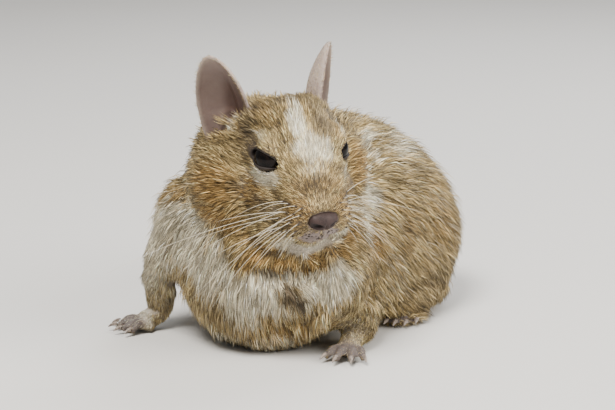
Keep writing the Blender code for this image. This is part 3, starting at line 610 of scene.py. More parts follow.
def earAxes(side):
    # Up the ear, across it, and the way that its cup opens.
    opens = unit(forward * 0.55 + left * side * 0.835 + up * 0.04)
    rise = unit(up * 0.86 - forward * 0.47 + left * side * 0.02)
    rise = unit(rise - opens * (rise @ opens))
    return rise, np.cross(rise, opens), opens


def earNarrow(q):
    # How wide the ear is at height q: narrower at the tip, with a broad lobe.
    return 1.0 - 0.10 * q - 0.10 * q * q + 0.6 * np.maximum(-q, 0.0) ** 2


def earPlace(points, side):
    # Across, up and out of the cup, with the edge at radius 1.
    rise, across, opens = earAxes(side)
    away = points - onSide(earPlan["centre"], side)
    q = away @ rise / (earPlan["high"] / 2)
    return away @ across / (earPlan["wide"] / 2) / earNarrow(np.clip(q, -1.2, 1.2)), q, away @ opens


def earShare(points, side, reach):
    # 1 on the ear's own sheet, out to that share of its edge: near its cup and no further down than the lobe.
    p, q, out = earPlace(points, side)
    r = np.hypot(p, q)
    sheet = np.abs(out + earPlan["cup"] * np.maximum(1 - r * r, 0) + earPlan["thick"] / 2)
    return softStep(reach, reach - 0.1, r) * softStep(2.6, 1.6, sheet), p, q, r


def earRings(side):
    # A cup of depth cup (1 - r^2) inside an oval, with a wall of that thickness behind it.
    rise, across, opens = earAxes(side)
    centre = onSide(earPlan["centre"], side)
    w = np.linspace(0, 2 * math.pi, 72, endpoint=False)[None]
    r = np.array([0.06, 0.18, 0.3, 0.42, 0.54, 0.65, 0.75, 0.84, 0.91, 0.96, 0.99, 1.0])
    r = np.concatenate([r, r[::-1]])[:, None]
    behind = (np.arange(len(r)) >= len(r) // 2)[:, None]
    p, q = np.sin(w) * r, np.cos(w) * r
    narrow = earNarrow(q)
    depth = -earPlan["cup"] * (1 - r * r) - behind * earPlan["thick"] * np.where(r > 0.985, 0.6, 1.0)
    return (centre + across * (p * narrow * earPlan["wide"] / 2)[..., None]
            + rise * (q * earPlan["high"] / 2)[..., None] + opens * depth[..., None])


def readMesh(piece):
    mesh = piece.data
    points = np.empty(len(mesh.vertices) * 3, np.float32)
    mesh.vertices.foreach_get("co", points)
    mesh.calc_loop_triangles()
    faces = np.empty(len(mesh.loop_triangles) * 3, np.int32)
    mesh.loop_triangles.foreach_get("vertices", faces)
    return points.reshape(-1, 3).astype(float) * 1000 + shift, faces.reshape(-1, 3)


def weldedCopy(name):
    # The node's points in mm, with doubles made one, and its triangles.
    points, faces = readMesh(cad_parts[name])
    _, first, index = np.unique(np.round(points, 3), axis=0, return_index=True, return_inverse=True)
    faces = index.reshape(-1)[faces].reshape(-1, 3)
    whole = (faces[:, 0] != faces[:, 1]) & (faces[:, 1] != faces[:, 2]) & (faces[:, 0] != faces[:, 2])
    return points[first], faces[whole]


def pointNormals(points, faces):
    # Face normals, weighted by area, summed at the points.
    normal = np.cross(points[faces[:, 1]] - points[faces[:, 0]], points[faces[:, 2]] - points[faces[:, 0]])
    total = np.stack([sum(np.bincount(faces[:, k], normal[:, axis], len(points)) for k in range(3))
                      for axis in range(3)], -1)
    return unit(total)


def average(values, faces, times):
    # Each point's value averaged with its neighbours' that many times.
    shared = np.bincount(faces.ravel(), minlength=len(values))[:, None]
    for _ in range(times):
        middle = values[faces].mean(1)
        sums = [np.bincount(faces.ravel(), np.repeat(middle[:, k], 3), len(values)) for k in range(3)]
        values = np.stack(sums, -1) / shared
    return values


def quadsToTriangles(faces):
    return np.concatenate([np.concatenate([g[:, :3], g[:, [0, 2, 3]]]) if g.shape[1] == 4 else g for g in faces])


def lidAxes(side):
    # Along the lids toward the nose, up across them, and out of the eye.
    out = unit(forward * 0.55 + left * side * 0.80 + up * 0.18)
    along = unit(forward * 0.80 - up * 0.14 - left * side * 0.44)
    along = unit(along - out * (along @ out))
    return along, np.cross(out, along) * side, out


def eyeCentre(side):
    return onHead(head["eyesAhead"], side * head["eyeSide"], head["eyesUp"])


fleshNodes = ["head", "neck", "chest", "belly", "rump", "thigh_right", "thigh_left",
              "upper_arm_right", "upper_arm_left", "forearm_right", "forearm_left",
              "hand_right", "hand_left", "foot_right", "foot_left", "tail_1", "tail_2", "tail_3"]


def joinedFlesh():
    # Every flesh node grown by the overlap, with the ears' own finer cups.
    allPoints, allFaces, start = [], [], 0
    shapes = [weldedCopy(name) for name in fleshNodes]
    points, faces = shapes[0]  # the head, hollowed a little in front of each ear
    for side in (-1, 1):
        away = np.linalg.norm(points - onSide(earPlan["hollowAt"], side), axis=1)
        deep = earPlan["hollowDeep"] * hill(away, earPlan["hollowWide"])
        points = points - pointNormals(points, faces) * deep[:, None]
    shapes[0] = points, faces
    for side in (-1, 1):
        points, faces = closedGrid(earRings(side))
        shapes.append((points, quadsToTriangles(faces)))
        rise, across, opens = earAxes(side)
        centre = onSide(earPlan["cushionAt"], side) - opens * 1.4
        points, faces = closedGrid(ballRings(centre, (rise, across, opens), earPlan["cushion"], 12, 20))
        shapes.append((points, quadsToTriangles(faces)))
    points, faces = closedGrid(ballRings(onHead(16.4, 0, -11.9), (forward, left, up), (1.5, 4.6, 2.2), 16, 24))
    shapes.append((points, quadsToTriangles(faces)))  # fills the seat under the nose pad
    for points, faces in shapes:
        solid = np.einsum("ij,ij->i", points[faces[:, 0]], np.cross(points[faces[:, 1]], points[faces[:, 2]])).sum()
        faces = faces if solid > 0 else faces[:, ::-1]
        allPoints.append(points + pointNormals(points, faces) * skinPlan["overlap"])
        allFaces.append(faces + start)
        start += len(points)
    return np.concatenate(allPoints), np.concatenate(allFaces)


def applyModifiers(piece):
    with bpy.context.temp_override(object=piece, active_object=piece, selected_objects=[piece]):
        for modifier in list(piece.modifiers):
            bpy.ops.object.modifier_apply(modifier=modifier.name)


def largestShell(points, faces):
    # The shell that holds most points, found by passing the lowest number along the edges.
    label = np.arange(len(points))
    while True:
        low = label[faces].min(1)
        new = label.copy()
        for k in range(3):
            np.minimum.at(new, faces[:, k], low)
        new = new[new]
        if (new == label).all():
            break
        label = new
    main = np.bincount(label).argmax()
    kept = faces[label[faces[:, 0]] == main]
    used = np.unique(kept)
    renumber = np.zeros(len(points), int)
    renumber[used] = np.arange(len(used))
    return points[used], renumber[kept]


def fineShare(points):
    # 1 where the skin shows or is small: face, ears, hands and feet; 0 on the trunk.
    f, _, u = headPlace(points).T
    face = softStep(-16, -8, f) * softStep(-28, -24, u)
    ears = np.zeros(len(points))
    for side in (-1, 1):
        ears = np.maximum(ears, earShare(points, side, 1.16)[0])
    hands = np.zeros(len(points))
    for arm, reach in ((armRight, reachRight), (armLeft, reachLeft)):
        away = np.linalg.norm(points - (np.array(arm[-1]) + reach * 5), axis=1)
        hands = np.maximum(hands, softStep(14, 11, away))
    for side in (-1, 1):
        a, s, z = trunkPlace(points).T
        feet = softStep(9, 7, np.abs(s - side * 27)) * softStep(7.5, 6, z) * softStep(72, 68, a) * softStep(18, 22, a)
        hands = np.maximum(hands, feet)
    return np.clip(face + ears + hands, 0, 1), ears, hands


def weightGroup(piece, name, share):
    # a vertex group of that share, in steps of a tenth
    group = piece.vertex_groups.new(name=name)
    levels = np.round(share * 10).astype(int)
    for level in range(11):
        group.add(np.flatnonzero(levels == level).tolist(), level / 10, "REPLACE")


def makeSkin():
    points, faces = joinedFlesh()
    skin = meshPiece("degu_skin", points, faces, None)
    remesh = skin.modifiers.new("join", "REMESH")
    remesh.mode = "VOXEL"
    remesh.voxel_size = skinPlan["voxel"] / 1000
    applyModifiers(skin)
    points, faces = readMesh(skin)
    fine = fineShare(points)[0]
    weightGroup(skin, "smooth", 1 - fine * 0.85)
    soften = skin.modifiers.new("soften", "SMOOTH")
    soften.factor = 0.5
    soften.iterations = skinPlan["smoothing"]
    soften.vertex_group = "smooth"
    applyModifiers(skin)
    weightGroup(skin, "keep", fine)
    thin = skin.modifiers.new("thin", "DECIMATE")
    thin.ratio = min(1.0, skinPlan["triangles"] / len(faces))
    thin.vertex_group = "keep"
    thin.invert_vertex_group = True
    thin.vertex_group_factor = 4.0
    thin.use_collapse_triangulate = True
    applyModifiers(skin)
    points, faces = largestShell(*readMesh(skin))
    bpy.data.objects.remove(skin)
    return points, faces


noseAt = (17.0, 0.2, -12.2)  # on the head
nosePlan = (2.85, 4.4, 2.75)  # mm, half the nose's depth, width and height
mouthPath = np.array([onHead(17.0 - 9.5 * a * a, 8.2 * a, -17.2 - 1.9 * abs(a)) for a in np.linspace(-1, 1, 61)])
splitPath = np.array([onHead(*row) for row in np.linspace((18.8, 0, -13.0), (16.8, 0, -17.4), 12)])


def nearest(points, path):
    # Distance from each point to the nearest stop of a path.
    return np.sqrt(((points[:, None] - path[None]) ** 2).sum(-1)).min(1)


def shapeSkin(points, faces):
    # Sinks the skin below the coat, then works in the lips and the ears' folds and smooths the cheeks.
    normals = pointNormals(points, faces)
    plan = coatAt(points)
    _, ears, hands = fineShare(points)
    depth = plan[:, 4] * (1 - ears) * (1 - hands * 0.8)
    thinParts = np.clip(ears + hands, 0, 1)[:, None]
    broad = unit(normals * thinParts + unit(average(normals, faces, 10)) * (1 - thinParts))
    for side in (-1, 1):
        near = softStep(9.0, 5.6, np.linalg.norm(points - eyeCentre(side), axis=1))
        depth = depth * (1 - near) + 0.1 * near
    depth = depth * softStep(-0.3, 5.0, points[:, 2]) + 0.15 * (1 - softStep(-0.3, 5.0, points[:, 2]))
    points = points - broad * (skinPlan["overlap"] + depth)[:, None]
    f, l, u = headPlace(points).T
    near = (f > 2) & (f < 22) & (np.abs(l) < 14) & (u < -6) & (u > -26)
    index = np.flatnonzero(near)
    mouth = nearest(points[index], mouthPath)
    split = nearest(points[index], splitPath)
    carve = -0.55 * hill(mouth, 0.55) + 0.32 * hill(mouth - 1.3, 0.7)
    carve += -0.5 * hill(split, 0.45) + 0.2 * hill(split - 1.0, 0.6)
    points[index] += normals[index] * carve[:, None]
    for side in (-1, 1):
        p, q, out = earPlace(points, side)
        r = np.hypot(p, q)
        opens = earAxes(side)[2]
        inside = softStep(1.02, 0.97, r) * ((normals @ opens) > 0.1) * (out > -7)
        fold = 0.9 * hill(p * side * -1 - 0.42 + 0.25 * q * q, 0.13) * softStep(-0.9, -0.4, q) * softStep(0.7, 0.2, q)
        fold += 0.7 * hill(q + 0.42 + 0.35 * p, 0.12) * softStep(0.85, 0.4, r)
        rim = 0.45 * hill(r - 0.94, 0.06)
        points += opens * (inside * (fold + rim))[:, None]
    eyesAway = np.minimum(*(np.linalg.norm(points - eyeCentre(side), axis=1) for side in (-1, 1)))
    cheek = softStep(9.5, 11.5, np.abs(l)) * softStep(6, 3, f) * softStep(-16, -12, f)
    cheek = cheek * softStep(6.5, 8.0, eyesAway) * (1 - ears)
    points = points * (1 - cheek[:, None]) + average(points, faces, 30) * cheek[:, None]
    points[:, 2] = np.maximum(points[:, 2], 0.02)
    return points, plan, ears


skinPoints, skinFaces = makeSkin()
print("stage: skin joined,", len(skinFaces), "triangles")
skinPoints, skinPlanAt, skinEars = shapeSkin(skinPoints, skinFaces)
skinNormals = unit(average(pointNormals(skinPoints, skinFaces), skinFaces, 2))


def bareShare(points):
    # Where no coat hides the skin: inside the ears, lips, round the nose, fingers and soles.
    lips = np.zeros(len(points))
    for side in (-1, 1):
        away = np.linalg.norm((headPlace(points) - (16.2, side * 2.6, -17.8)) / (3.4, 3.6, 3.4), axis=1)
        lips = np.maximum(lips, softStep(1.15, 0.75, away + 0.15 * mottle(points, 2.2, 61)))
    noseAway = np.linalg.norm((headPlace(points) - noseAt) / nosePlan, axis=1)
    lips = np.maximum(lips, softStep(1.04, 1.0, noseAway))
    inner, outer, shade, rims = np.zeros((4, len(points)))
    for side in (-1, 1):
        local, p, q, r = earShare(points, side, 1.16)
        opens = earAxes(side)[2]
        front = softStep(0.0, 0.3, skinNormals @ opens)
        inner = np.maximum(inner, local * front * softStep(1.0, 0.86, r))
        outer = np.maximum(outer, local * (1 - front) * softStep(-0.7, -0.3, q))
        # painted shade on the front face of each ear's cup: strongest in its hollow, fading toward the tip and the
        # lobe's bottom
        hollow = softStep(0.9, 0.3, np.hypot((p * side + 0.28) / 0.8, (q + 0.05) / 0.75))
        ends = (hollow * 0.35 + 0.62) * softStep(-1.0, -0.5, q) * softStep(1.3, 0.3, q)
        shade = np.maximum(shade, local * front * ends)
        rims = np.maximum(rims, local * softStep(0.86, 0.95, r))
    fingers = np.zeros(len(points))
    for arm, reach in ((armRight, reachRight), (armLeft, reachLeft)):
        along = (points - np.array(arm[-1])) @ reach
        away = np.linalg.norm(points - (np.array(arm[-1]) + reach * 5), axis=1)
        fingers = np.maximum(fingers, softStep(5.0, 7.5, along) * softStep(14, 12, away))
    a, s, z = trunkPlace(points).T
    for side in (-1, 1):
        local = softStep(10, 8, np.abs(s - side * 27)) * softStep(8, 6, z)
        low = softStep(32, 30, np.abs(points[:, 2] * 10))
        fingers = np.maximum(fingers, softStep(44, 39, a) * softStep(14, 18, a) * local * low)
    return lips, inner, np.maximum(outer, rims), shade, fingers


def placeFollicles():
    # Where the whiskers grow: five rows of four on each pad, put on the skin.
    spots = []
    for side in (-1, 1):
        for row in range(5):
            for column in range(4):
                ahead = 16.8 - 1.45 * column - 0.25 * abs(row - 2)
                spot = onHead(ahead, side * (5.8 + 1.4 * column + 0.55 * row), -7.9 - 2.1 * row)
                spots.append((side, row, column, skinPoints[((skinPoints - spot) ** 2).sum(1).argmin()]))
    return spots


follicles = placeFollicles()
follicleSpots = np.array([spot for _, _, _, spot in follicles])


def follicleShare(points, size):
    # exp(-(d / size)^2) of the distance to the nearest whisker's root.
    share = np.zeros(len(points))
    f, _, u = headPlace(points).T
    index = np.flatnonzero((f > 4) & (u < -7))
    share[index] = hill(nearest(points[index], follicleSpots), size)
    return share


lips, earInner, earOuter, earPaintedShade, fingers = bareShare(skinPoints)
tailShare = softStep(14, 22, (skinPoints - tailRoot)[:, 1])
skin = meshPiece("degu_skin", skinPoints, skinFaces, skinMaterial)
marks = coatMarks(skinPoints)
marks["dark"] = np.maximum(marks["dark"], follicleShare(skinPoints, 0.6))
bare = np.clip(np.maximum.reduce([lips, earInner, earOuter * 0.75, fingers, tailShare * 0.8]), 0, 1)
# 'shade' is painted shade: the inner face of each ear darkened, its hollow most
setValues(skin, **marks, bare=bare, shade=np.clip(earPaintedShade * 0.6 + earInner * 0.42, 0, 1),
          grey=np.clip(lips * 0.62 + fingers * 0.85 + tailShare * 0.8, 0, 1), dots=lips)
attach(skin, "root")
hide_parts(*fleshNodes, "ear_right", "ear_left")
print("stage: skin done,", len(skinFaces), "triangles")

# Eyes, lids and nose

lidPlan = {"long": 9.6, "high": 4.5, "reach": 0.1}
# outward and raised in mm, and how dark: from the margin on the eyeball to the edge under the skin
lidRows = [(-0.3, -0.6, 1), (-0.04, 0.04, 1), (0.1, 0.2, 1), (0.3, 0.3, 0.9), (0.8, 0.15, 0.45), (1.5, -0.3, 0.2),
           (2.3, -0.9, 0), (1.4, -1.6, 0), (0.0, -1.3, 1)]


def lidRings(side):
    # Round an almond a cos w, b sin w: a lip that leaves the eyeball, crests and dives under the skin.
    along, over, out = lidAxes(side)
    w = np.linspace(0, 2 * math.pi, 96, endpoint=False)
    hood = np.where(np.sin(w) > 0, 0.6 * softStep(-0.7, 1.0, np.cos(w)), 0.45 * softStep(0.5, 1.0, np.cos(w)))
    a = np.cos(w) * lidPlan["long"] / 2
    b = np.sin(w) * lidPlan["high"] / 2 * (1 - hood)
    rings = []
    size = np.hypot(a, b)
    for outward, raised, _ in lidRows:
        aa, bb = a * (1 + outward / size), b * (1 + outward / size)
        upper = np.where(np.sin(w) > 0, 0.2, 0.0) * hill(outward - 0.5, 0.5)
        radius = head["eyeRadius"] + lidPlan["reach"]
        reach = np.sqrt(np.maximum(radius ** 2 - np.minimum(aa * aa + bb * bb, 17.5), 0.3))
        ring = eyeCentre(side) + along * aa[:, None] + over * bb[:, None]
        rings.append(ring + out * (reach + raised + upper)[:, None])
    return np.array(rings)


def ringLoop(rings):
    # A closed tube of rings joined last to first.
    levels, count, _ = rings.shape
    base = np.arange(levels * count).reshape(levels, count)
    over, deeper = np.roll(base, -1, axis=1), np.roll(base, -1, axis=0)
    both = np.roll(deeper, -1, axis=1)
    return rings.reshape(-1, 3), np.stack([base, over, both, deeper], -1).reshape(-1, 4)


def joinShapes(shapes):
    # Closed shapes of quads and triangles put in one pair of points and faces, each facing out.
    quads, ends, start = [], [], 0
    for points, faces in shapes:
        sides, caps = facingOut(points, faces)
        quads.append(sides + start)
        ends.append(caps + start)
        start += len(points)
    return np.concatenate([points for points, _ in shapes]), [np.concatenate(quads), np.concatenate(ends)]


def facingOut(points, faces):
    # The faces turned round where the closed shape would be inside out.
    groups = faces if isinstance(faces, list) else [faces]
    middle = points.mean(0)
    corners = [(points - middle)[g] for g in groups]
    volume = sum(np.einsum("ij,ij->i", c[:, 0], np.cross(c[:, k], c[:, k + 1])).sum()
                 for c in corners for k in range(1, c.shape[1] - 1))
    return faces if volume > 0 else ([g[:, ::-1] for g in groups] if isinstance(faces, list) else faces[:, ::-1])


def makeEyes():
    for side, name in ((-1, "right"), (1, "left")):
        along, over, out = lidAxes(side)
        rings = ballRings(eyeCentre(side), (out, along, over), (head["eyeRadius"],) * 3, 28, 48)
        points, faces = closedGrid(rings)
        ball = meshPiece(f"eyeball_{name}", points, facingOut(points, faces), eyeMaterial)
        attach(ball, "root")
        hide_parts(f"eye_{name}")
        points, faces = ringLoop(lidRings(side))
        lid = meshPiece(f"eyelids_{name}", points, facingOut(points, faces), lidMaterial)
        setValues(lid, rim=np.repeat([dark for _, _, dark in lidRows], len(points) // len(lidRows)))
        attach(lid, "root")


def makeNose():
    # An ellipsoid pad whose nostrils are comma-shaped hollows painted dark as their shade, with a groove down its
    # middle.
    centre = onHead(*noseAt)
    rings = ballRings(centre, (forward, left, up), nosePlan, 40, 64)
    points, faces = closedGrid(rings)
    place = headPlace(points) - noseAt
    normals = unit(place / np.square(nosePlan)) @ np.stack([forward, left, up])
    deep = np.zeros(len(points))
    for side in (-1, 1):
        bend = side * (2.3 + 0.9 * np.abs(place[:, 2] + 0.5))
        slit = np.hypot((place[:, 1] - bend) / 1.5, (place[:, 2] + 0.5) / 0.95)
        deep = np.maximum(deep, softStep(1.15, 0.4, slit) * (place[:, 0] > -0.4))
    groove = hill(place[:, 1], 0.32) * softStep(0.6, -0.8, place[:, 2]) * (place[:, 0] > 0)
    wing = hill(np.abs(place[:, 1]) - 3.4, 1.1) * softStep(-1.0, 0.8, place[:, 2]) * (place[:, 0] > 0)
    points = points - normals * (1.0 * deep + 0.5 * groove - 0.25 * wing)[:, None]
    nose = meshPiece("nose_pad", points, facingOut(points, faces), noseMaterial)
    # 'deep' carries the nostrils' painted shade to the material
    setValues(nose, deep=np.clip(deep * 1.3, 0, 1))
    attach(nose, "root")
    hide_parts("nose")


makeEyes()
makeNose()
for name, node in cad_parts.items():
    if name.startswith("claw_") or name == "tail_brush":
        node.data.materials.clear()
        node.data.materials.append(bristleMaterial if name == "tail_brush" else clawMaterial)
print("stage: eyes, nose and claws done")

# The coat

coatSize = {
    "tufts": 195000,
    "bristles": 3000,
    "long": 4.4,  # mm, from which a tuft counts as long
    "most": 190000,  # triangles in one piece
    "clump": 3.4,  # mm between the points that body tufts gather to
    "thinnest": 0.15, "thickest": 0.36,  # mm, before each tuft's own share
    "wildShare": 0.06,  # of the long hair, that stands off the coat
    "stray": 0.16,  # how far a tuft turns aside
}


def growTufts(name, root, normal, way, long, wide, lift, marks, stations, material, lean=None):
    # Each tuft: root + long (way t cos + normal (sin t - bend t^2)), a three-sided taper closed at both ends.
    count = len(root)
    t = np.array(stations)
    side = unit(np.cross(way, normal))
    rise = np.sin(lift)[:, None, None] * (t - 0.55 * t * t)[None, :, None] * 1.5
    run = np.cos(lift * 0.6)[:, None, None] * t[None, :, None]
    line = (root - normal * np.minimum(0.35, long * 0.1)[:, None])[:, None] + long[:, None, None] * (
        way[:, None] * run + normal[:, None] * rise)
    if lean is not None:
        line = line + lean[:, None] * (t * t)[None, :, None]
    taper = np.array([0.9, 0.75]) if len(t) > 2 else np.array([1.1])
    turn = np.radians([90, 210, 330])
    ring = (side[:, None] * np.cos(turn)[None, :, None] + normal[:, None] * np.sin(turn)[None, :, None] * 0.55)
    body = line[:, :-1, None] + ring[:, None] * (wide[:, None] * taper[None] * 0.5)[..., None, None]
    levels = len(t) - 1
    each = levels * 3 + 1
    points = np.concatenate([body.reshape(count, levels * 3, 3), line[:, -1:]], axis=1)
    base = []
    for level in range(levels - 1):
        for k in range(3):
            m = (k + 1) % 3
            a, b, c, d = level * 3 + k, level * 3 + m, level * 3 + 3 + m, level * 3 + 3 + k
            base += [(a, b, c), (a, c, d)]
    last = (levels - 1) * 3
    base += [(last + k, last + (k + 1) % 3, levels * 3) for k in range(3)] + [(0, 2, 1)]
    base = np.array(base)
    faces = (base[None] + (np.arange(count) * each)[:, None, None]).reshape(-1, 3)
    corners = points[0][base] - points[0].mean(0)
    if np.einsum("ij,ij->i", corners[:, 0], np.cross(corners[:, 1], corners[:, 2])).sum() < 0:
        faces = faces[:, ::-1]
    flat = points.reshape(-1, 3)
    flat[:, 2] = np.maximum(flat[:, 2], 0.05)
    piece = meshPiece(name, flat, faces, material)
    along = np.concatenate([np.repeat(t[:-1], 3), t[-1:]])
    tone = along if levels > 1 else along * 1.05 + 0.22
    setValues(piece, along=np.tile(tone, count), **{k: np.repeat(v, each) for k, v in marks.items()})
    across = np.concatenate([np.tile([0.0, 0.5, 1.0], levels), [0.5]])
    placeTufts(piece, root, normal, across, along, each)
    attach(piece, "root")
    return piece


tuftPatch = 0.003


def placeTufts(piece, root, normal, across, along, each):
    # OFBake: the skin laid out on six charts by the way it faces, and each tuft a small patch at its root.
    chart = np.abs(normal).argmax(1) * 2 + (normal[np.arange(len(normal)), np.abs(normal).argmax(1)] > 0)
    first = np.array([1, 1, 0, 0, 0, 0])[chart]
    second = np.array([2, 2, 2, 2, 1, 1])[chart]
    rows = np.arange(len(root))
    spot = np.stack([root[rows, first], root[rows, second]], -1)
    for number in range(6):
        here = chart == number
        if here.any():
            low, high = spot[here].min(0), spot[here].max(0)
            spot[here] = (spot[here] - low) / np.maximum(high - low, 1e-3)
    corner = np.stack([chart % 3 / 3 + 0.01, chart // 3 / 2 + 0.01], -1) + spot * (1 / 3 - 0.025, 0.5 - 0.025)
    uv = np.empty((len(root), each, 2))
    uv[..., 0] = corner[:, None, 0] + across[None] * tuftPatch
    uv[..., 1] = corner[:, None, 1] + along[None] * tuftPatch
    index = np.empty(len(piece.data.loops), np.int32)
    piece.data.loops.foreach_get("vertex_index", index)
    layer = piece.data.uv_layers.new(name="OFBake")
    layer.data.foreach_set("uv", uv.reshape(-1, 2)[index].astype(np.float32).ravel())


def scatter(points, faces, normals, want, count):
    # That many spots spread over the triangles, in proportion to area and want: place, normal, triangle, weights.
    corner = points[faces]
    area = np.linalg.norm(np.cross(corner[:, 1] - corner[:, 0], corner[:, 2] - corner[:, 0]), axis=1) / 2
    total = np.cumsum(want[faces].mean(1) * area)
    print("stage: sown at", round(count / total[-1], 2), "of the plan")
    pick = np.searchsorted(total, (np.arange(count) + random.random(count)) * total[-1] / count)
    pick = np.minimum(pick, len(faces) - 1)
    a, b = random.random((2, count))
    over = a + b > 1
    a[over], b[over] = 1 - a[over], 1 - b[over]
    weight = np.stack([1 - a - b, a, b], -1)[..., None]
    return (corner[pick] * weight).sum(1), unit((normals[faces[pick]] * weight).sum(1)), pick, weight


def eyeDistance(points):
    # Distance from the nearer eye's opening, in half widths of that almond, on its own side of the head.
    least = np.full(len(points), 9.0)
    for side in (-1, 1):
        along, over, out = lidAxes(side)
        away = points - eyeCentre(side)
        d = np.hypot((away @ along) / 5.0, (away @ over) / 2.9)
        near = (away @ out > 0) & (np.linalg.norm(away, axis=1) < 11)
        least = np.where(near, np.minimum(least, d), least)
    return least


def sowRoots():
    # Roots spread evenly over the skin's triangles, as many per mm2 as the plan says, none where it is bare.
    hide = 1 - np.clip(np.maximum.reduce([lips, earInner, fingers * 0.8, earOuter * 0.6]), 0, 1)
    lid = softStep(1.05, 0.99, eyeDistance(skinPoints))
    offFloor = softStep(0.25, 1.2, skinPoints[:, 2] + 2 * (skinNormals[:, 2] > -0.5))
    want = skinPlanAt[:, 5] * hide * (1 - lid) * offFloor
    root, normal, pick, weight = scatter(skinPoints, skinFaces, skinNormals, want, coatSize["tufts"])
    return root, normal, (skinEars[skinFaces[pick]] * weight[..., 0]).sum(1)


def clumpLean(root, normal, way, long):
    # Tips drawn toward the tip of the nearest clump leader, more on long hair.
    cell = np.floor(root / coatSize["clump"] + 0.35 * mottle(root, 9, 31)[:, None]).astype(np.int64)
    key = cell @ np.array([1, 4096, 16777216])
    _, group = np.unique(key, return_inverse=True)
    group = group.reshape(-1)
    size = np.bincount(group)
    tip = root + way * long[:, None] * 0.9 + normal * long[:, None] * 0.2
    middle = np.stack([np.bincount(group, tip[:, k]) / size for k in range(3)], -1)[group]
    pull = softStep(2.5, 8.0, long)[:, None] * 0.62
    return (middle - tip) * pull


def growCoat():
    root, normal, ear = sowRoots()
    plan = coatAt(root)
    count = len(root)
    way = plan[:, :3]
    way = unit(way - normal * np.einsum("ij,ij->i", way, normal)[:, None])
    side = np.cross(normal, way)
    stray = random.normal(0, coatSize["stray"], count) + coatSize["stray"] * mottle(root, 8, 41)
    way = unit(way + side * stray[:, None])
    marks = coatMarks(root + way * (plan[:, 3] * 0.4)[:, None])
    jitter = random.uniform(0.75, 1.2, count)
    ear = np.clip(ear, 0, 1)
    long = plan[:, 3] * jitter * (1 - 0.72 * ear) * (0.42 + 0.58 * softStep(1.0, 1.7, eyeDistance(root)))
    wide = np.clip(0.13 + 0.045 * plan[:, 3], coatSize["thinnest"], coatSize["thickest"])
    wide = wide * random.uniform(0.7, 1.3, count)
    wide *= 1 - 0.55 * ear
    lift = plan[:, 6] * random.uniform(0.6, 1.5, count) * (1.35 - 0.35 * softStep(3, 7, plan[:, 3])) * (1 - 0.6 * ear)
    wild = random.random(count) < coatSize["wildShare"] * softStep(4, 8, long)
    lift = np.where(wild, lift + 0.3, lift)
    long = np.where(wild, long * 1.15, long)
    marks["dark"] = np.maximum(marks["dark"], follicleShare(root + way * long[:, None] * 0.5, 0.55))
    streak = root - way * (root * way).sum(1)[:, None] * 0.8
    marks["pick"] = np.clip(0.48 + 0.5 * mottle(streak, 1.9, 51, 11) + 0.14 * mottle(root, 6, 52)
                            + 0.45 * (random.random(count) - 0.5), 0, 1)
    marks["white"] = softStep(0.3, 0.7, marks["white"] + 0.5 * (random.random(count) - 0.5))
    lean = clumpLean(root, normal, way, long)
    lean[:, 2] -= long * 0.04
    longHair = long > coatSize["long"]
    for label, here, stations in (("fine", ~longHair, (0.0, 1.0)), ("long", longHair, (0.0, 0.46, 1.0))):
        index = np.flatnonzero(here)
        parts = max(1, math.ceil(len(index) * (6 * len(stations) - 8) / coatSize["most"]))
        order = np.array_split(index, parts)
        for number, rows in enumerate(order):
            ownMarks = {k: v[rows] for k, v in marks.items()}
            piece = growTufts(f"coat_{label}_{number + 1}", root[rows], normal[rows], way[rows], long[rows],
                              wide[rows], lift[rows], ownMarks, stations, coatMaterial, lean[rows])
        print("stage: coat", label, len(index), "tufts in", parts, "pieces")


def growTailBristles():
    # Fine dark bristles along the locks of the tail's brush.
    points, faces = weldedCopy("tail_brush")
    evenly = np.ones(len(points))
    root, normal, _, _ = scatter(points, faces, pointNormals(points, faces), evenly, coatSize["bristles"])
    count = len(root)
    way = unit(np.array([0.05, 1.0, 0.0]) + normal * 0.1 + random.normal(0, 0.07, (count, 3)))
    way = unit(way - normal * np.einsum("ij,ij->i", way, normal)[:, None] * 0.8)
    none = np.zeros(count)
    marks = {"white": none, "warm": none, "dark": random.uniform(0.55, 1, count), "pick": random.random(count)}
    long, wide, lift = (random.uniform(low, high, count) for low, high in ((3.5, 7.0), (0.14, 0.24), (0.05, 0.3)))
    piece = growTufts("coat_tail_bristles", root, normal, way, long, wide, lift, marks, (0.0, 0.5, 1.0), coatMaterial)


growCoat()
growTailBristles()

# Whiskers

whiskerPlan = {
    "wide": 0.1, "sides": 6, "stops": 14, "swell": 0.24,  # mm added to the radius just above the root
    "longest": ((-1, 50.0), (1, 36.0)), "overEye": 6.5,  # mm, by side
}


def whiskerRings(start, way, fall, long):
    # start + long (way t + fall t^2), as thin rings that swell at the root and taper to a point.
    t = np.linspace(0, 1, whiskerPlan["stops"])[:, None] ** 1.8
    line = start + (way * t + fall * t * t) * long
    tangent = unit(np.gradient(line, axis=0))
    side = unit(np.cross(tangent, sky + 0.01))
    over = np.cross(side, tangent)
    w = np.linspace(0, 2 * math.pi, whiskerPlan["sides"], endpoint=False)[None, :, None]
    bulb = whiskerPlan["swell"] * hill(t * long - 0.9, 0.5)
    radius = (whiskerPlan["wide"] / 2 * (1 - t) ** 0.6 + 0.015 + bulb)[:, None]
    return line[:, None] + (side[:, None] * np.cos(w) + over[:, None] * np.sin(w)) * radius


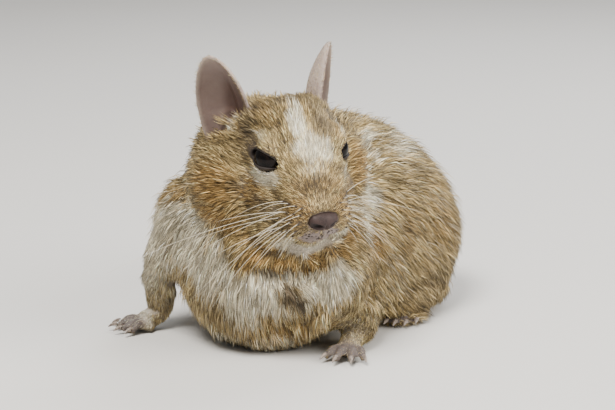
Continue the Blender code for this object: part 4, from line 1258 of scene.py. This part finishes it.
def makeWhiskers():
    # Rows of whiskers on each pad that droop outward, one very long, and a few short ones over each eye.
    draw = np.random.default_rng(8)
    shapes = []
    for side, row, column, root in follicles:
        long = (6 + 7 * column) * draw.uniform(0.7, 1.15) * (0.6 if row == 0 else 1.0)
        way = left * side * 0.9 - forward * (0.05 + 0.09 * column) - sky * (0.17 * row - 0.1)
        way = way + draw.normal(0, 0.09, 3)
        fall = -forward * 0.12 - sky * draw.uniform(0.2, 0.62)
        shapes.append(whiskerRings(root - unit(way) * 0.5, unit(way), fall, long))
    for side, long in whiskerPlan["longest"]:
        root = [spot for s, row, column, spot in follicles if s == side and row == 1 and column == 3][0]
        shapes.append(whiskerRings(root, unit(left * side - sky * 0.3 - forward * 0.45), -sky * 0.16, long))
        for number in range(3):
            root = onHead(-1.5 + number * 1.3, side * 9.6, 5.6)
            way = unit(up * 0.5 + left * side * 0.7 - forward * (0.5 + 0.2 * number))
            shapes.append(whiskerRings(root - way, way, -sky * 0.3 - forward * 0.3, whiskerPlan["overEye"]))
    points, faces = joinShapes([closedGrid(rings) for rings in shapes])
    whiskers = meshPiece("whiskers", points, faces, whiskerMaterial)
    ends = np.array([[rings[0].mean(0), rings[-1].mean(0)] for rings in shapes])
    away = np.concatenate([np.append(np.linalg.norm(rings - start, axis=-1).ravel(), [0, 9])
                           for rings, (start, _) in zip(shapes, ends)])
    setValues(whiskers, root=softStep(1.7, 1.2, away))
    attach(whiskers, "root")


makeWhiskers()
print("stage: whiskers done")

# Floor, light and camera

camera = {"lens": 126.44, "elevation": 12.0, "distance": 0.6, "lookAt": (0.0, 0.0, 46.0)}


floorPlan = {"half": 3.0, "below": 0.0002, "light": (0.66, 0.65, 0.63), "deep": (0.70, 0.69, 0.67)}  # metres
studio = {
    "sky": (0.95, 0.93, 0.90, 1.0), "strength": 0.34,
    # name, watts, size, azimuth, elevation, colour
    "lamps": [("key", 14.2, 0.36, -25, 60, (1.0, 0.96, 0.9)), ("fill", 10.5, 0.7, 64, 28, (1.0, 0.96, 0.9)),
              ("rim", 6.0, 0.5, 150, 45, (0.95, 0.97, 1.0))],
}


def makeFloor():
    size, low = floorPlan["half"], cadBox[0][2]
    corners = np.array([(-size, -size), (size, -size), (size, size), (-size, size)])
    mesh = bpy.data.meshes.new("floor")
    mesh.from_pydata([(x, y, low - floorPlan["below"]) for x, y in corners], [], [(0, 1, 2, 3)])
    floor = bpy.data.objects.new("floor", mesh)
    bpy.context.scene.collection.objects.link(floor)
    material, tree, shader = newMaterial("pale floor", Roughness=0.8, Specular_IOR_Level=0.2)
    tree.give(shader, Base_Color=tree.mix(tree.noise(3.0), floorPlan["light"], floorPlan["deep"]))
    mesh.materials.append(material)


def addLight(name, power, size, azimuth, elevation, colour, distance=0.9):
    lamp = bpy.data.lights.new(name, "AREA")
    lamp.energy, lamp.size, lamp.color = power, size, colour
    holder = bpy.data.objects.new(name, lamp)
    a, e = math.radians(azimuth), math.radians(elevation)
    way = np.array([math.sin(a) * math.cos(e), -math.cos(a) * math.cos(e), math.sin(e)])
    holder.location = (toFrame((0, 25, 40)) + way * distance).tolist()
    bpy.context.scene.collection.objects.link(holder)
    holder.rotation_euler = Vector((-way).tolist()).to_track_quat("-Z", "Y").to_euler()


def makeStudio():
    world = bpy.data.worlds.new("studio")
    world.use_nodes = True
    background = world.node_tree.nodes["Background"]
    background.inputs["Color"].default_value = studio["sky"]
    background.inputs["Strength"].default_value = studio["strength"]
    bpy.context.scene.world = world
    for lamp in studio["lamps"]:
        addLight(*lamp)


def makeCamera():
    lens = bpy.data.cameras.new("camera")
    lens.lens, lens.sensor_width, lens.clip_start = camera["lens"], 36.0, 0.01
    holder = bpy.data.objects.new("camera", lens)
    e = math.radians(camera["elevation"])
    spot = toFrame(camera["lookAt"]) + np.array([0, -math.cos(e), math.sin(e)]) * camera["distance"]
    holder.location = spot.tolist()
    holder.rotation_euler = (math.pi / 2 - e, 0, 0)
    bpy.context.scene.collection.objects.link(holder)
    bpy.context.scene.camera = holder


makeFloor()
makeStudio()
makeCamera()
print("stage: floor, light and camera done")
